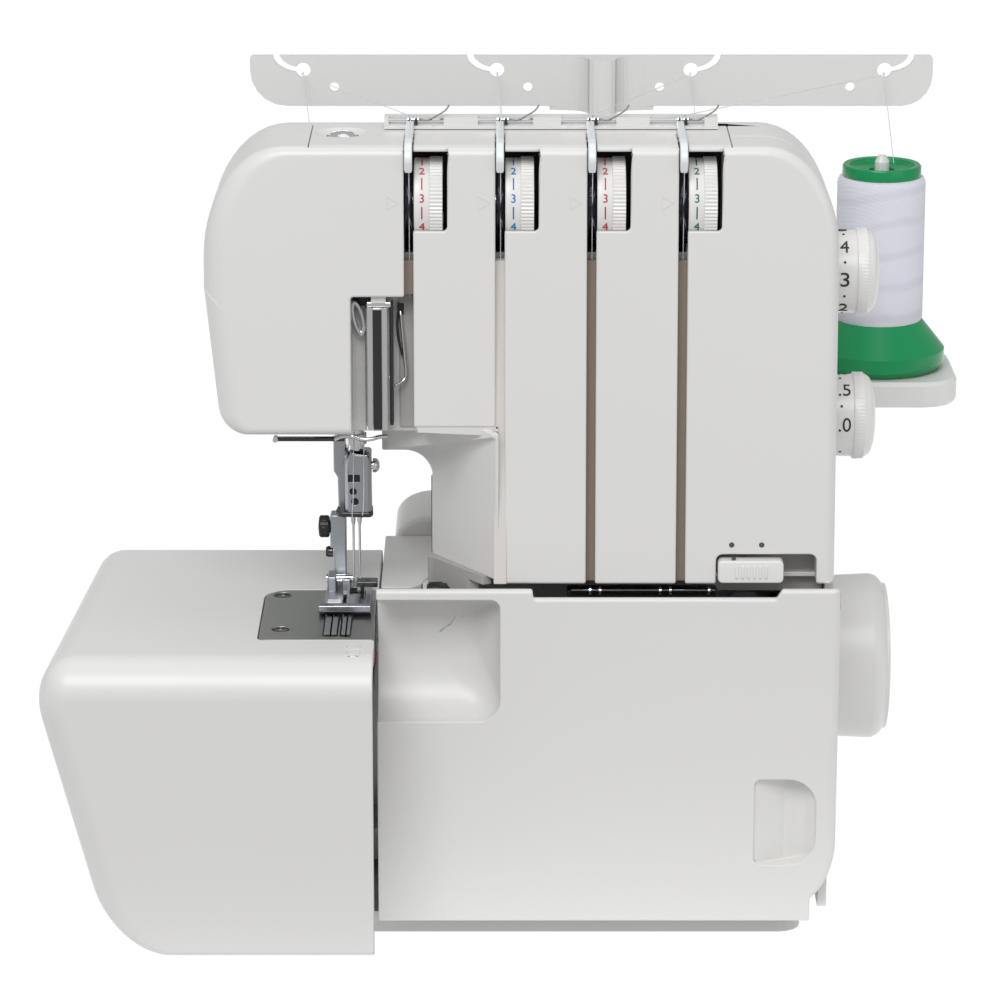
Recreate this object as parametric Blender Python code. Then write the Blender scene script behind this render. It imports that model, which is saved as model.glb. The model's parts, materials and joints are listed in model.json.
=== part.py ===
"""A four-thread home overlock machine with its covers, stitch mechanism, drive and spools as separate nodes.

All lengths are in millimetres and become metres when a mesh is made. X points to the right of the machine,
Y to its back and Z up. The origin is the centre of the footprint, on the table.
"""

import math

import bmesh
import bpy
from mathutils import Matrix, Vector

MM = 0.001
GAP = 0.3
WALL = 2.5
ROUND = 24
SMALL_ROUND = 12

# Levels
BED_Z = 120.0
TOP_Z = 287.0
BULGE_TOP = 127.0
TRAY_BOTTOM = 4.0

# Casing
CASE_RIGHT = 107.0
HEAD_LEFT = -111.5
HEAD_BOTTOM = 185.0
FRONT_Y = -97.0
FRONT_LEAN = 12.0
SEAM_Y = -64.0
CASE_BACK = 58.0
HEAD_BACK = 36.0
COLUMN_LEFT = -33.0
COLUMN_FRONT_LEFT = -10.4
FRONT_BOTTOM = 135.2
TOP_COVER_X = (-75.0, 70.0)

# Lower front cover
LOOPER_COVER_Y = -102.0
LOOPER_COVER_X = (-52.4, 109.0)
LOOPER_COVER_Z = (12.0, 134.6)
COVER_STEP_X = 2.0
COVER_STEP_DROP = 2.6
COVER_HINGE = (-97.9, 14.5)
HINGE_ROD_R = 1.2
SCOOP_X = -9.4
SCOOP_Z = (86.5, 131.0)
SCOOP_BACK = -84.0
GRIP_X = (80.0, 101.8)
GRIP_Z = (33.2, 65.0)

# Cloth plate and needle plate
PLATE_LEFT = -168.7
PLATE_RIGHT = -52.8
PLATE_FRONT = -141.0
PLATE_BACK = 0.0
PLATE_BOTTOM = 13.0
NEEDLE_PLATE_X = (-93.0, -53.2)
NEEDLE_PLATE_Y = (-112.0, -54.0)
NEEDLE_X = -60.3
NEEDLE_PITCH = 2.2
NEEDLE_Y = -62.0
PRESSER_X = -67.0
PRESSER_Y = -52.0
LIFTER_AXIS = (-44.0, 212.0)
BAR_GAP = ((-74.0, -70.0, 180.0), (-54.0, -44.0, 190.0))

# Thread channels, tension units and dials
SLOT_X = (-42.3, -11.0, 20.4, 51.7)
SLOT_WIDTH = 3.2
SLOT_BOTTOM = (235.0, 185.0, 130.0, 130.0)
SLOT_FLOOR_Y = -80.0
WINDOW_OFFSET = 3.35
WINDOW_WIDTH = 11.5
WINDOW_BOTTOM = 258.3
TENSION_AXIS = (-72.0, 266.2)
DIAL_R = 15.1
DISC_R = 13.5
SIDE_DIAL_Y = -45.0
SIDE_DIAL_R = 13.9
STITCH_DIAL_Z = 234.9
DIFFERENTIAL_DIAL_Z = 182.4

# Drive
SHAFT = (-10.0, 81.0)
SHAFT_R = 5.0
HANDWHEEL_R = 30.4
DRIVE_PULLEY_R = 24.0
MOTOR_AXIS = (31.0, 48.0)
MOTOR_PULLEY_R = 6.0
BELT_X = (91.0, 97.0)

# Spool stand, spools and telescopic pole
STAND_Z = (153.0, 163.0)
STAND_X = (-115.0, 168.0)
STAND_Y = (76.0, 141.0)
SPOOL_X = (-85.0, -10.6, 63.9, 138.3)
SPOOL_Y = 105.0
SPOOL_HEIGHT = 80.0
SPOOL_BASE_R = 26.0
PIN_R = 2.8
POLE = (29.7, 98.0)
POLE_R = (6.5, 4.9, 3.3)
BAR_X = (-105.4, 156.8)
BAR_Z = (266.0, 285.6)
BAR_Y = (103.8, 106.2)
HOLE_Z = 279.9
HOLE_R = 2.9
THREAD_R = 0.2
TOP_GUIDE_X = (-49.7, 66.5)
TOP_GUIDE_ROD = (-47.0, 289.3)

CORNER_PULL = 0.5523


def clear_scene():
    for obj in list(bpy.data.objects):
        bpy.data.objects.remove(obj)


def material(name, colour, roughness, metallic=0.0):
    mat = bpy.data.materials.new(name)
    mat.use_nodes = True
    shader = mat.node_tree.nodes["Principled BSDF"]
    shader.inputs["Base Color"].default_value = (*colour, 1.0)
    shader.inputs["Roughness"].default_value = roughness
    shader.inputs["Metallic"].default_value = metallic
    return mat


def turn_at(corners, i):
    """The signed turn between the two edges that meet at a corner, and the directions of those edges."""
    here = Vector(corners[i][:2])
    arriving = (here - Vector(corners[i - 1][:2])).normalized()
    leaving = (Vector(corners[(i + 1) % len(corners)][:2]) - here).normalized()
    cross = arriving.x * leaving.y - arriving.y * leaving.x
    return math.atan2(cross, arriving.dot(leaving)), arriving, leaving


def inset_corners(corners, distance):
    """The corners of an anticlockwise outline moved inwards, with cuts shortened to suit."""
    moved = []
    for i, corner in enumerate(corners):
        turn, arriving, leaving = turn_at(corners, i)
        half = math.tan(turn / 2)
        normal = Vector((-arriving.y, arriving.x))
        point = Vector(corner[:2]) + distance * (normal - arriving * half)
        cuts = [max(cut_length - distance * half, 0.2) for cut_length in corner[2:]]
        moved.append((*point, *cuts))
    return moved


def rounded(corners, steps=5, inward=0.0):
    """The points of a closed outline. A corner is (u, v), (u, v, radius) or (u, v, cut before, cut after)."""
    if inward:
        corners = inset_corners(corners, inward)
    points = []
    for i, corner in enumerate(corners):
        here = Vector(corner[:2])
        if len(corner) == 2:
            points.append(here)
            continue
        turn, arriving, leaving = turn_at(corners, i)
        start = here - arriving * corner[2]
        end = here + leaving * corner[-1]
        handle_a = start.lerp(here, CORNER_PULL)
        handle_b = end.lerp(here, CORNER_PULL)
        for k in range(steps + 1):
            t = k / steps
            s = 1 - t
            points.append(s**3 * start + 3 * s * s * t * handle_a + 3 * s * t * t * handle_b + t**3 * end)
    return points


def place(axis, u, v, along):
    """A point from its two outline coordinates and its place along the axis of an extrusion."""
    if axis == "X":
        return Vector((along, u, v))
    if axis == "Y":
        return Vector((u, along, v))
    return Vector((u, v, along))


def new_object(name, mesh, mat=None):
    obj = bpy.data.objects.new(name, mesh)
    bpy.context.scene.collection.objects.link(obj)
    if mat:
        mesh.materials.append(mat)
    return obj


def finish_mesh(bm, name, mat, origin=None):
    """Makes the object, in metres, with its origin on the given point and smooth shading on round parts."""
    bmesh.ops.recalc_face_normals(bm, faces=bm.faces)
    bm.transform(Matrix.Scale(MM, 4))
    origin = Vector(origin or (0, 0, 0)) * MM
    bm.transform(Matrix.Translation(-origin))
    mesh = bpy.data.meshes.new(name)
    bm.to_mesh(mesh)
    bm.free()
    mesh.shade_smooth()
    mesh.set_sharp_from_angle(angle=math.radians(35))
    obj = new_object(name, mesh, mat)
    obj.location = origin
    return obj


def loft(name, rings, mat=None, origin=None):
    """A closed solid through rings of points, which all have the same number of points."""
    bm = bmesh.new()
    loops = [[bm.verts.new(p) for p in ring] for ring in rings]
    for low, high in zip(loops, loops[1:]):
        for i in range(len(low)):
            j = (i + 1) % len(low)
            bm.faces.new((low[i], low[j], high[j], high[i]))
    bm.faces.new(list(reversed(loops[0])))
    bm.faces.new(loops[-1])
    return finish_mesh(bm, name, mat, origin)


def prism(name, outline, axis, start, end, mat=None, origin=None):
    """An outline extruded along X, Y or Z."""
    rings = [[place(axis, p[0], p[1], along) for p in outline] for along in (start, end)]
    return loft(name, rings, mat, origin)


def box(name, low, high, mat=None, origin=None):
    outline = [(low[0], low[1]), (high[0], low[1]), (high[0], high[1]), (low[0], high[1])]
    return prism(name, outline, "Z", low[2], high[2], mat, origin)


def turned(name, profile, axis, centre, mat=None, sides=ROUND, origin=None):
    """A solid of revolution. The profile is a list of (place along the axis, radius), end to end."""
    rings = []
    for along, radius in profile:
        ring = []
        for k in range(sides):
            angle = 2 * math.pi * k / sides
            u = centre[0] + radius * math.cos(angle)
            v = centre[1] + radius * math.sin(angle)
            ring.append(place(axis, u, v, along))
        rings.append(ring)
    return loft(name, rings, mat, origin)


def helper(obj):
    obj.hide_render = True
    obj.display_type = "WIRE"
    return obj


def combine(target, tool, operation):
    modifier = target.modifiers.new(operation.title(), "BOOLEAN")
    modifier.operation = operation
    modifier.solver = "EXACT"
    modifier.object = helper(tool)


def cut(target, *tools):
    for tool in tools:
        combine(target, tool, "DIFFERENCE")


def add(target, *tools):
    for tool in tools:
        combine(target, tool, "UNION")


def keep(target, tool):
    combine(target, tool, "INTERSECT")


def cover_outline(inward=0.0):
    """The front view of the upper casing: head, column and their large top corners."""
    corners = [
        (COLUMN_FRONT_LEFT, FRONT_BOTTOM, 1.5),
        (CASE_RIGHT, FRONT_BOTTOM, 3),
        (CASE_RIGHT, TOP_Z, 36, 26),
        (HEAD_LEFT, TOP_Z, 28, 40),
        (HEAD_LEFT, 238, 7),
        (-106, HEAD_BOTTOM, 9),
        (COLUMN_FRONT_LEFT, HEAD_BOTTOM, 1.5),
    ]
    return rounded(corners, steps=4, inward=inward)


def lean(z):
    """How far the front plane has leant back at height z."""
    return FRONT_LEAN * (z - FRONT_BOTTOM) / (TOP_Z - FRONT_BOTTOM)


def front_cover(mat):
    """The upper front shell, with a soft front edge, thread channels, dial windows and the needle recess."""
    soft = 6.0
    rings = []
    for depth, offset in ((0.0, soft), (0.13 * soft, 0.5 * soft), (0.5 * soft, 0.13 * soft), (soft, 0.0)):
        rings.append([Vector((p.x, FRONT_Y + depth + lean(p.y), p.y)) for p in cover_outline(offset)])
    rings.append([Vector((p.x, SEAM_Y, p.y)) for p in cover_outline()])
    shell = loft("front_cover", rings, mat)
    inner = cover_outline(WALL)
    hollow = [
        [Vector((p.x, FRONT_Y + WALL + lean(p.y), p.y)) for p in inner],
        [Vector((p.x, SEAM_Y + 5, p.y)) for p in inner],
    ]
    cut(shell, loft("front_hollow", hollow))
    for i, x in enumerate(SLOT_X):
        low = max(SLOT_BOTTOM[i], FRONT_BOTTOM + 1)
        middle = x + SLOT_WIDTH / 2
        rib = [(FRONT_Y + 1 + lean(low), low), (SLOT_FLOOR_Y + 2, low), (SLOT_FLOOR_Y + 2, 249), (-86, 249)]
        add(shell, prism(f"rib_{i}", rib, "X", middle - 4, middle + 4))
    recess_x = (-60.7, SLOT_X[0] + SLOT_WIDTH)
    back = box("recess_back", (recess_x[0] - 2, -92, HEAD_BOTTOM + 0.5), (recess_x[1] + 2, -75, 238))
    add(shell, back)
    for i, x in enumerate(SLOT_X):
        bottom = SLOT_BOTTOM[i]
        cut(shell, box(f"slot_{i}", (x, -120, bottom), (x + SLOT_WIDTH, SLOT_FLOOR_Y, 300)))
        left = x + WINDOW_OFFSET - 0.6
        right = x + WINDOW_OFFSET + WINDOW_WIDTH
        cut(shell, box(f"window_{i}", (left, -120, WINDOW_BOTTOM), (right, SEAM_Y + 6, 300)))
        cut(shell, box(f"dial_space_{i}", (left, -85.6, 250), (right, -80, 262)))
        cut(shell, box(f"disc_space_{i}", (x - 0.6, -93, 247.3), (x + SLOT_WIDTH + 0.3, SEAM_Y + 6, 300)))
    cut(shell, box("recess", (recess_x[0], -120, 180), (recess_x[1], -77, 235.6)))
    cut(shell, box("front_bar_gap", BAR_GAP[0], BAR_GAP[1]))
    cut(shell, box("top_opening", (TOP_COVER_X[0], -82.5, 270), (TOP_COVER_X[1], SEAM_Y + 6, 300)))
    cut(shell, box("slider_window", (65.6, -120, 135.8), (100.5, -90, 145.7)))
    add(shell, box("slider_track", (63, -95, 146.2), (103, -90, 148)))
    return shell


def top_cover(mat):
    """The flat insert that closes the top, with a dish around the pressure screw."""
    low_x = TOP_COVER_X[0] + GAP
    high_x = TOP_COVER_X[1] - GAP
    plate = box("top_cover", (low_x, -82.2, TOP_Z - 3.0), (high_x, -42, TOP_Z), mat)
    keep(plate, prism("top_shape", rear_profile(SEAM_Y - 30), "X", -130, 130))
    cut(plate, turned("screw_dish", [(TOP_Z - 1.2, 6), (TOP_Z + 0.5, 9.5)], "Z", (-64, -56.4)))
    cut(plate, turned("screw_hole", [(270, 5.7), (300, 5.7)], "Z", (-64, -56.4)))
    for i, x in enumerate(SLOT_X):
        cut(plate, box(f"fin_gap_{i}", (x - 0.2, -90, 270), (x + SLOT_WIDTH + 0.2, -57, 300)))
    return plate


def rear_outline(inward=0.0):
    corners = [
        (COLUMN_LEFT, 12, 3),
        (CASE_RIGHT, 12, 6),
        (CASE_RIGHT, TOP_Z, 36, 26),
        (HEAD_LEFT, TOP_Z, 28, 40),
        (HEAD_LEFT, 238, 7),
        (-106, HEAD_BOTTOM, 9),
        (COLUMN_LEFT, HEAD_BOTTOM, 9),
    ]
    return rounded(corners, steps=4, inward=inward)


def rear_profile(front, wall=0.0):
    """The side view of the rear shell, whose top falls to the back."""
    return rounded(
        [
            (front, 0),
            (CASE_BACK - wall, 0),
            (CASE_BACK - wall, 262 - wall, 38, 66),
            (-34, TOP_Z - wall, 24, 6),
            (front, TOP_Z - wall),
        ],
        steps=7,
    )


def rear_cover(mat):
    """The rear shell: back of the head, column, and the lower housing behind the arm."""
    shell = prism("rear_cover", rear_outline(), "Y", SEAM_Y + GAP, CASE_BACK + 5, mat)
    keep(shell, prism("rear_shape", rear_profile(SEAM_Y - 10), "X", -130, 130))
    cut(shell, box("head_back", (-130, HEAD_BACK, HEAD_BOTTOM - 30), (COLUMN_LEFT - 4, 90, 300)))
    bulge = [(-48, 12, 3), (COLUMN_LEFT + 6, 12), (COLUMN_LEFT + 6, BULGE_TOP), (-48, BULGE_TOP, 13)]
    add(shell, prism("bulge", rounded(bulge, 4), "Y", 15, CASE_BACK - 0.5))
    hollow = prism("rear_hollow", rear_outline(WALL), "Y", SEAM_Y - 5, CASE_BACK + 5)
    keep(hollow, prism("hollow_shape", rear_profile(SEAM_Y - 10, WALL), "X", -130, 130))
    cut(hollow, box("head_back_wall", (-130, HEAD_BACK - WALL, 150), (COLUMN_LEFT - 4 + WALL, 90, 300)))
    cut(shell, hollow)
    opening = [(COLUMN_LEFT + WALL, 12 + WALL), (104.5, 14.5), (104.5, 180), (-30.5, 180)]
    front_opening = rounded(opening, steps=2)
    cut(shell, prism("front_opening", front_opening, "Y", SEAM_Y - 5, SEAM_Y + 8))
    head_opening = [(-103, 187.5), (-25, 187.5), (-25, 262), (-103, 262)]
    cut(shell, prism("head_opening", head_opening, "Y", SEAM_Y - 5, SEAM_Y + 8))
    cut(shell, prism("bulge_hollow", rounded(bulge, 4, WALL), "Y", 15 + WALL, CASE_BACK - WALL))
    cut(shell, box("open_bottom", (COLUMN_LEFT + 4, -80, 0), (102, CASE_BACK - WALL, 16)))
    cut(shell, box("open_left", (COLUMN_LEFT - 1, -80, 0), (COLUMN_LEFT + 6.5, CASE_BACK - WALL, 117)))
    cut(shell, box("rear_bar_gap", BAR_GAP[0], BAR_GAP[1]))
    cut(shell, box("side_gap", (100, -80, 0), (130, 13, FRONT_BOTTOM)))
    cut(shell, box("top_gap", (TOP_COVER_X[0], -80, 270), (TOP_COVER_X[1], -41.7, 300)))
    for z in (STITCH_DIAL_Z, DIFFERENTIAL_DIAL_Z):
        cut(shell, turned("dial_hole", [(95, 4), (130, 4)], "X", (SIDE_DIAL_Y, z), sides=16))
    cut(shell, box("lever_gap", (PRESSER_X - 6, HEAD_BACK - 8, 188), (PRESSER_X + 6, HEAD_BACK + 5, 244)))
    return shell


def side_cover(mat):
    """The lower right end cover, which the handwheel's shaft and the power switch and inlet pass through."""
    outline = rounded([(-90, 12, 3), (12.7, 12), (12.7, 134.8), (-90, 134.8, 3)], steps=3)
    plate = prism("side_cover", outline, "X", 104, CASE_RIGHT, mat)
    add(plate, box("side_flange", (100, 10.2, 14), (105, 12.7, 130)))
    cut(plate, turned("shaft_hole", [(95, 8), (130, 8)], "X", SHAFT))
    cut(plate, box("switch_hole", (95, -78, 22), (130, -64, 44)))
    cut(plate, box("inlet_hole", (95, -58, 20), (130, -30, 44)))
    return plate


def throat_cover(mat):
    """The bed right of the needle plate and the slanted left wall of the column above it."""
    bed_right = COLUMN_LEFT - GAP
    bed = rounded([(-52.2, 14.6), (-52.2, -50), (-34.5, -50, 12), (bed_right, -36), (bed_right, 14.6)], 4)
    plate = prism("throat_cover", bed, "Z", BED_Z - WALL, BED_Z, mat)
    wall = [(-10.8, -95.0), (-10.8, -90.5), (-30.6, -64.3), (-33.0, -64.3), (-33.0, -65.5)]
    upper = prism("throat_wall", wall, "Z", FRONT_BOTTOM, HEAD_BOTTOM - GAP)
    add(plate, upper)
    foot = [(-19.5, -79.0), (-30.6, -64.3), (-36.0, -64.3), (-36.0, -66.5), (-32.4, -66.5), (-22.5, -79.0)]
    add(plate, prism("throat_foot", foot, "Z", BED_Z - WALL, FRONT_BOTTOM + 1))
    add(plate, box("throat_bridge", (-37.0, -66.2, BED_Z - WALL + 0.1), (bed_right, -40, BED_Z - 0.1)))
    return plate


def looper_cover(mat):
    """The hinged lower front cover with the waste scoop and the finger grip."""
    left, right = LOOPER_COVER_X
    low, high = LOOPER_COVER_Z
    soft = 1.5
    step = high - COVER_STEP_DROP
    corners = [
        (left, low),
        (101, low, 1.5),
        (101.5, 17, 2),
        (right, 32, 12),
        (right, high, 3),
        (93, high, 2),
        (88, step, 2),
        (COVER_STEP_X + 3, step, 1),
        (COVER_STEP_X, high, 1),
        (left, high),
    ]
    front = LOOPER_COVER_Y
    rings = []
    for depth, offset in ((0.0, soft), (0.3 * soft, 0.3 * soft), (soft, 0.0), (10.0, 0.0)):
        rings.append([Vector((p.x, front + depth, p.y)) for p in rounded(corners, 3, offset)])
    shell = loft("looper_cover", rings, mat)
    roof = step - WALL
    hollow = rounded([(left + WALL, low + WALL), (98.5, low + WALL),
                      (right - WALL, 33, 14), (right - WALL, roof),
                      (left + WALL, roof)], steps=3)
    cut(shell, prism("cover_hollow", hollow, "Y", front + WALL, front + 20))
    scoop = [(-120, SCOOP_Z[0]), (front, SCOOP_Z[0], 9), (SCOOP_BACK, SCOOP_Z[0] + 8, 9)]
    scoop = rounded(scoop + [(SCOOP_BACK, SCOOP_Z[1], 1), (-120, SCOOP_Z[1])], steps=4)
    outer = [(front + 0.5, SCOOP_Z[0] - 2), (SCOOP_BACK + 2.2, SCOOP_Z[0] + 5, 10)]
    outer = rounded(outer + [(SCOOP_BACK + 2.2, SCOOP_Z[1] + 1.8), (front + 0.5, SCOOP_Z[1] + 1.8)], steps=4)
    add(shell, prism("scoop_back", outer, "X", left, SCOOP_X + 2.2))
    cut(shell, prism("scoop", scoop, "X", left - 10, SCOOP_X))
    grip = [(GRIP_X[0], GRIP_Z[0], 3), (GRIP_X[1], GRIP_Z[0], 12), (GRIP_X[1], GRIP_Z[1], 12),
            (GRIP_X[0], GRIP_Z[1], 3)]
    add(shell, prism("grip_back", rounded(grip, 4, -2), "Y", front + 0.5, front + 11))
    cut(shell, prism("grip", rounded(grip, 4), "Y", front - 5, front + 9))
    cut(shell, box("hinge_relief", (-46, front + 2.4, 0), (100, -80, 17.5)))
    return shell


def cloth_plate(mat):
    """The pull-off cover around the free arm: a hollow box, open to the right and below."""
    soft = 11.0

    corners = [
        (PLATE_LEFT + 22, PLATE_BOTTOM, 26, 20),
        (PLATE_RIGHT, PLATE_BOTTOM),
        (PLATE_RIGHT, BED_Z),
        (PLATE_LEFT, BED_Z, 11),
        (PLATE_LEFT, 104, 4),
    ]

    def flush_right(points):
        edge = max(p.x for p in points)
        return [Vector((PLATE_RIGHT, p.y)) if p.x > edge - 0.01 else p for p in points]

    def tapered(points, y):
        shrink = 1 - 0.075 * (y - PLATE_FRONT) / (PLATE_BACK - PLATE_FRONT)
        return [Vector((PLATE_RIGHT + (p.x - PLATE_RIGHT) * shrink, y, p.y)) for p in points]

    rings = []
    for depth, offset in ((0.0, soft), (0.08 * soft, 0.62 * soft), (0.3 * soft, 0.3 * soft),
                          (0.62 * soft, 0.08 * soft), (soft, 0.0)):
        rings.append(tapered(flush_right(rounded(corners, 5, offset)), PLATE_FRONT + depth))
    for depth, offset in ((5.0, 0.0), (1.5, 1.5), (0.0, 5.0)):
        rings.append(tapered(flush_right(rounded(corners, 5, offset)), PLATE_BACK - depth))
    plate = loft("cloth_plate", rings, mat)
    inside = rounded([(-142, -10, 6), (-30, -10), (-30, BED_Z - WALL),
                      (PLATE_LEFT + WALL + 1, BED_Z - WALL, 9),
                      (PLATE_LEFT + WALL + 1, 104, 4)], steps=4)
    hollow = [tapered(inside, PLATE_FRONT + WALL + 4), tapered(inside, PLATE_BACK - WALL)]
    cut(plate, loft("plate_hollow", hollow))
    notch = rounded([(NEEDLE_PLATE_X[0] - GAP, NEEDLE_PLATE_Y[0] - GAP, 3), (-30, NEEDLE_PLATE_Y[0] - GAP),
                     (-30, NEEDLE_PLATE_Y[1] + GAP),
                      (NEEDLE_PLATE_X[0] - GAP, NEEDLE_PLATE_Y[1] + GAP, 9)], 4)
    cut(plate, prism("plate_notch", notch, "Z", 100, 140))
    return plate


def needle_plate(mat):
    """The steel plate under the presser foot, with slots for the feed dogs and a hole for the needles."""
    outline = rounded([(NEEDLE_PLATE_X[0], NEEDLE_PLATE_Y[0], 3), (NEEDLE_PLATE_X[1], NEEDLE_PLATE_Y[0]),
                       (NEEDLE_PLATE_X[1], NEEDLE_PLATE_Y[1]), (NEEDLE_PLATE_X[0], NEEDLE_PLATE_Y[1], 9)], 4)
    plate = prism("needle_plate", outline, "Z", BED_Z - 2.2, BED_Z, mat)
    cut(plate, box("left_slot", (-71.0, -109, 110), (-66.3, -57, 130)))
    cut(plate, box("right_slot", (-64.8, -109, 110), (-60.8, -68.4, 130)))
    cut(plate, box("needle_hole", (-63.4, -66, 110), (-57.4, -58, 130)))
    cut(plate, box("finger_slot", (-59.2, -106, 110), (-57.8, -68, 130)))
    return plate


def machine_frame(mat):
    """The cast frame: bed beam, free arm, column and upper arm."""
    frame = box("machine_frame", (-112, -46, 14), (92, -8, 26), mat)
    add(frame, box("bed_beam", (-30, -46.5, 13.5), (92.5, 48, 26.5)))
    add(frame, box("arm_end", (-118, -104, 30), (-108, -12, 112)))
    add(frame, box("arm_foot", (-118, -46, 14), (-108, -20, 32)))
    add(frame, box("arm_rear", (-112, -20, 24), (-37, -16, 112)))
    add(frame, box("arm_ledge", (-112, -52, 106), (-84, -18, 112)))
    add(frame, box("plate_front_ledge", (-112, -111.5, 106), (-74, -50, 112)))
    for x, y in ((-88, -60), (-86, -100)):
        add(frame, turned("plate_post", [(110, 4), (BED_Z - 2.2 - GAP, 4)], "Z", (x, y), sides=16))
    add(frame, box("column", (-24, -6, 24), (84, 2, 262)))
    add(frame, box("column_rib", (-24, -6, 24), (-16, 44, 200)))
    add(frame, box("shaft_wall_left", (-40, -20, 24), (-34, 8, 112)))
    add(frame, box("shaft_wall_left_web", (-40, 0, 24), (-20, 8, 60)))
    add(frame, box("shaft_wall_right", (76, -24, 24), (84, 0, 110)))
    add(frame, box("upper_arm", (-96, -40, 236), (84, 0, 262)))
    add(frame, box("bar_guide", (-78, -70, 240), (-50, -38, 258)))
    cut(frame, turned("needle_bar_bore", [(200, 3.4), (280, 3.4)], "Z", (NEEDLE_X, NEEDLE_Y), sides=16))
    cut(frame, turned("presser_bar_bore", [(200, 3.4), (280, 3.4)], "Z", (PRESSER_X, PRESSER_Y), sides=16))
    cut(frame, turned("shaft_bore", [(-130, SHAFT_R + GAP), (130, SHAFT_R + GAP)], "X", SHAFT))
    cut(frame, turned("crank_space", [(-20, 20), (72, 20)], "X", SHAFT))
    return frame


def base_tray(mat):
    corners = [(-120, -92, 8), (98, -92, 8), (98, 55, 10), (-120, 55, 10)]
    tray = prism("base_tray", rounded(corners, 4), "Z", TRAY_BOTTOM, 11.7, mat)
    cut(tray, prism("tray_hollow", rounded(corners, 4, 3), "Z", TRAY_BOTTOM + 3, 15))
    for x in (-60, 0, 60):
        add(tray, box("tray_boss", (x - 6, -20, TRAY_BOTTOM + 2), (x + 6, 10, 11.7)))
    return tray


def rubber_foot(name, x, y, mat):
    profile = [(0, 7.5), (1.0, 8.5), (TRAY_BOTTOM - GAP, 9.5)]
    return turned(name, profile, "Z", (x, y), mat, sides=16)


def spool_stand(mat):
    """The shelf behind the casing, with its four spool pins and the hole that holds the pole."""
    x0, x1 = STAND_X
    y0, y1 = STAND_Y
    corners = [(x0, y0, 12), (-20, y0), (-20, CASE_BACK + GAP), (80, CASE_BACK + GAP), (80, y0),
               (x1, y0, 14), (x1, y1, 20), (x0, y1, 20)]
    low, high = STAND_Z
    rings = []
    for z, offset in ((low, 1.2), (low + 1.5, 0), (high - 1.5, 0), (high, 1.2)):
        rings.append([Vector((p.x, p.y, z)) for p in rounded(corners, 4, offset)])
    stand = loft("spool_stand", rings, mat)
    pin = [(high - 2, PIN_R), (high + 81, PIN_R), (high + 83.5, 1.6)]
    for i, x in enumerate(SPOOL_X):
        add(stand, turned(f"pin_{i}", pin, "Z", (x, SPOOL_Y), sides=SMALL_ROUND))
    cut(stand, turned("pole_hole", [(low - 5, POLE_R[0] + GAP), (high + 5, POLE_R[0] + GAP)], "Z", POLE))
    return stand


def spool(name, x, mat):
    """A conical-base spool with its wound thread."""
    low = STAND_Z[1] + GAP
    profile = [
        (low, SPOOL_BASE_R),
        (low + 2.5, SPOOL_BASE_R),
        (low + 13, 17),
        (low + 69, 17),
        (low + 71, 15.3),
        (low + SPOOL_HEIGHT, 15.3),
    ]
    centre = (x, SPOOL_Y)
    body = turned(name, profile, "Z", centre, mat, sides=20, origin=(x, SPOOL_Y, low))
    well = [(low + SPOOL_HEIGHT - 7, 13.4), (low + SPOOL_HEIGHT + 2, 13.4)]
    cut(body, turned(name + "_well", well, "Z", centre, sides=16))
    bore = [(low - 2, PIN_R + GAP), (low + 90, PIN_R + GAP)]
    cut(body, turned(name + "_bore", bore, "Z", centre, sides=SMALL_ROUND))
    return body


def tube(name, low, high, outer, inner, mat):
    body = turned(name, [(low, outer), (high, outer)], "Z", POLE, mat)
    cut(body, turned(name + "_bore", [(low + 2, inner), (high + 2, inner)], "Z", POLE))
    return body


def keyhole(x, side):
    """The curved slot from the bar's top edge to the thread hole, as an outline."""
    reach = 10.5
    rise = BAR_Z[1] - HOLE_Z + 1
    outer = []
    inner = []
    for k in range(7):
        angle = math.pi / 2 * k / 6
        lift = rise * (1 - math.cos(angle))
        outer.append((x + side * (reach + 1.0) * math.sin(angle), HOLE_Z - 1.0 + lift))
        inner.append((x + side * (reach - 1.0) * math.sin(angle), HOLE_Z + 1.0 + lift))
    return outer + list(reversed(inner))


def guide_bar(mat):
    """The thread guide bar with its own rod, which slides in the pole."""
    outline = rounded([(BAR_X[0], BAR_Z[0], 14), (BAR_X[1], BAR_Z[0], 12), (BAR_X[1], BAR_Z[1], 1.5),
                       (BAR_X[0], BAR_Z[1], 1.5)], steps=5)
    bar = prism("guide_bar", outline, "Y", BAR_Y[0], BAR_Y[1], mat)
    x, y = POLE
    back = BAR_Y[1] - 0.2
    face = BAR_Y[0] + 0.3
    boss = [(x - 20, face), (x - 9, face - 1, 3), (x - 5.4, y, 2), (x - 5.2, y - 5.5, 4),
            (x + 5.2, y - 5.5, 4), (x + 5.4, y, 2), (x + 9, face - 1, 3), (x + 20, face), (x + 20, back),
            (x - 20, back)]
    boss = rounded(boss, steps=3)
    add(bar, prism("bar_boss", boss, "Z", BAR_Z[0] - 1.6, BAR_Z[1]))
    rod = [(24, POLE_R[2]), (BAR_Z[0] + 4, POLE_R[2])]
    add(bar, turned("bar_rod", rod, "Z", POLE, sides=16))
    for i, hole_x in enumerate(SPOOL_X):
        side = -1 if i < 2 else 1
        cut(bar, prism(f"keyhole_{i}", keyhole(hole_x, side), "Y", 95, 115))
        cut(bar, turned(f"hole_{i}", [(95, HOLE_R), (115, HOLE_R)], "Y", (hole_x, HOLE_Z), sides=16))
    for small_x in (-73.1, 1.3, 52.0, 125.2):
        cut(bar, turned("small_hole", [(95, 1.9), (115, 1.9)], "Y", (small_x, 273.3), sides=SMALL_ROUND))
    return bar


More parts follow.
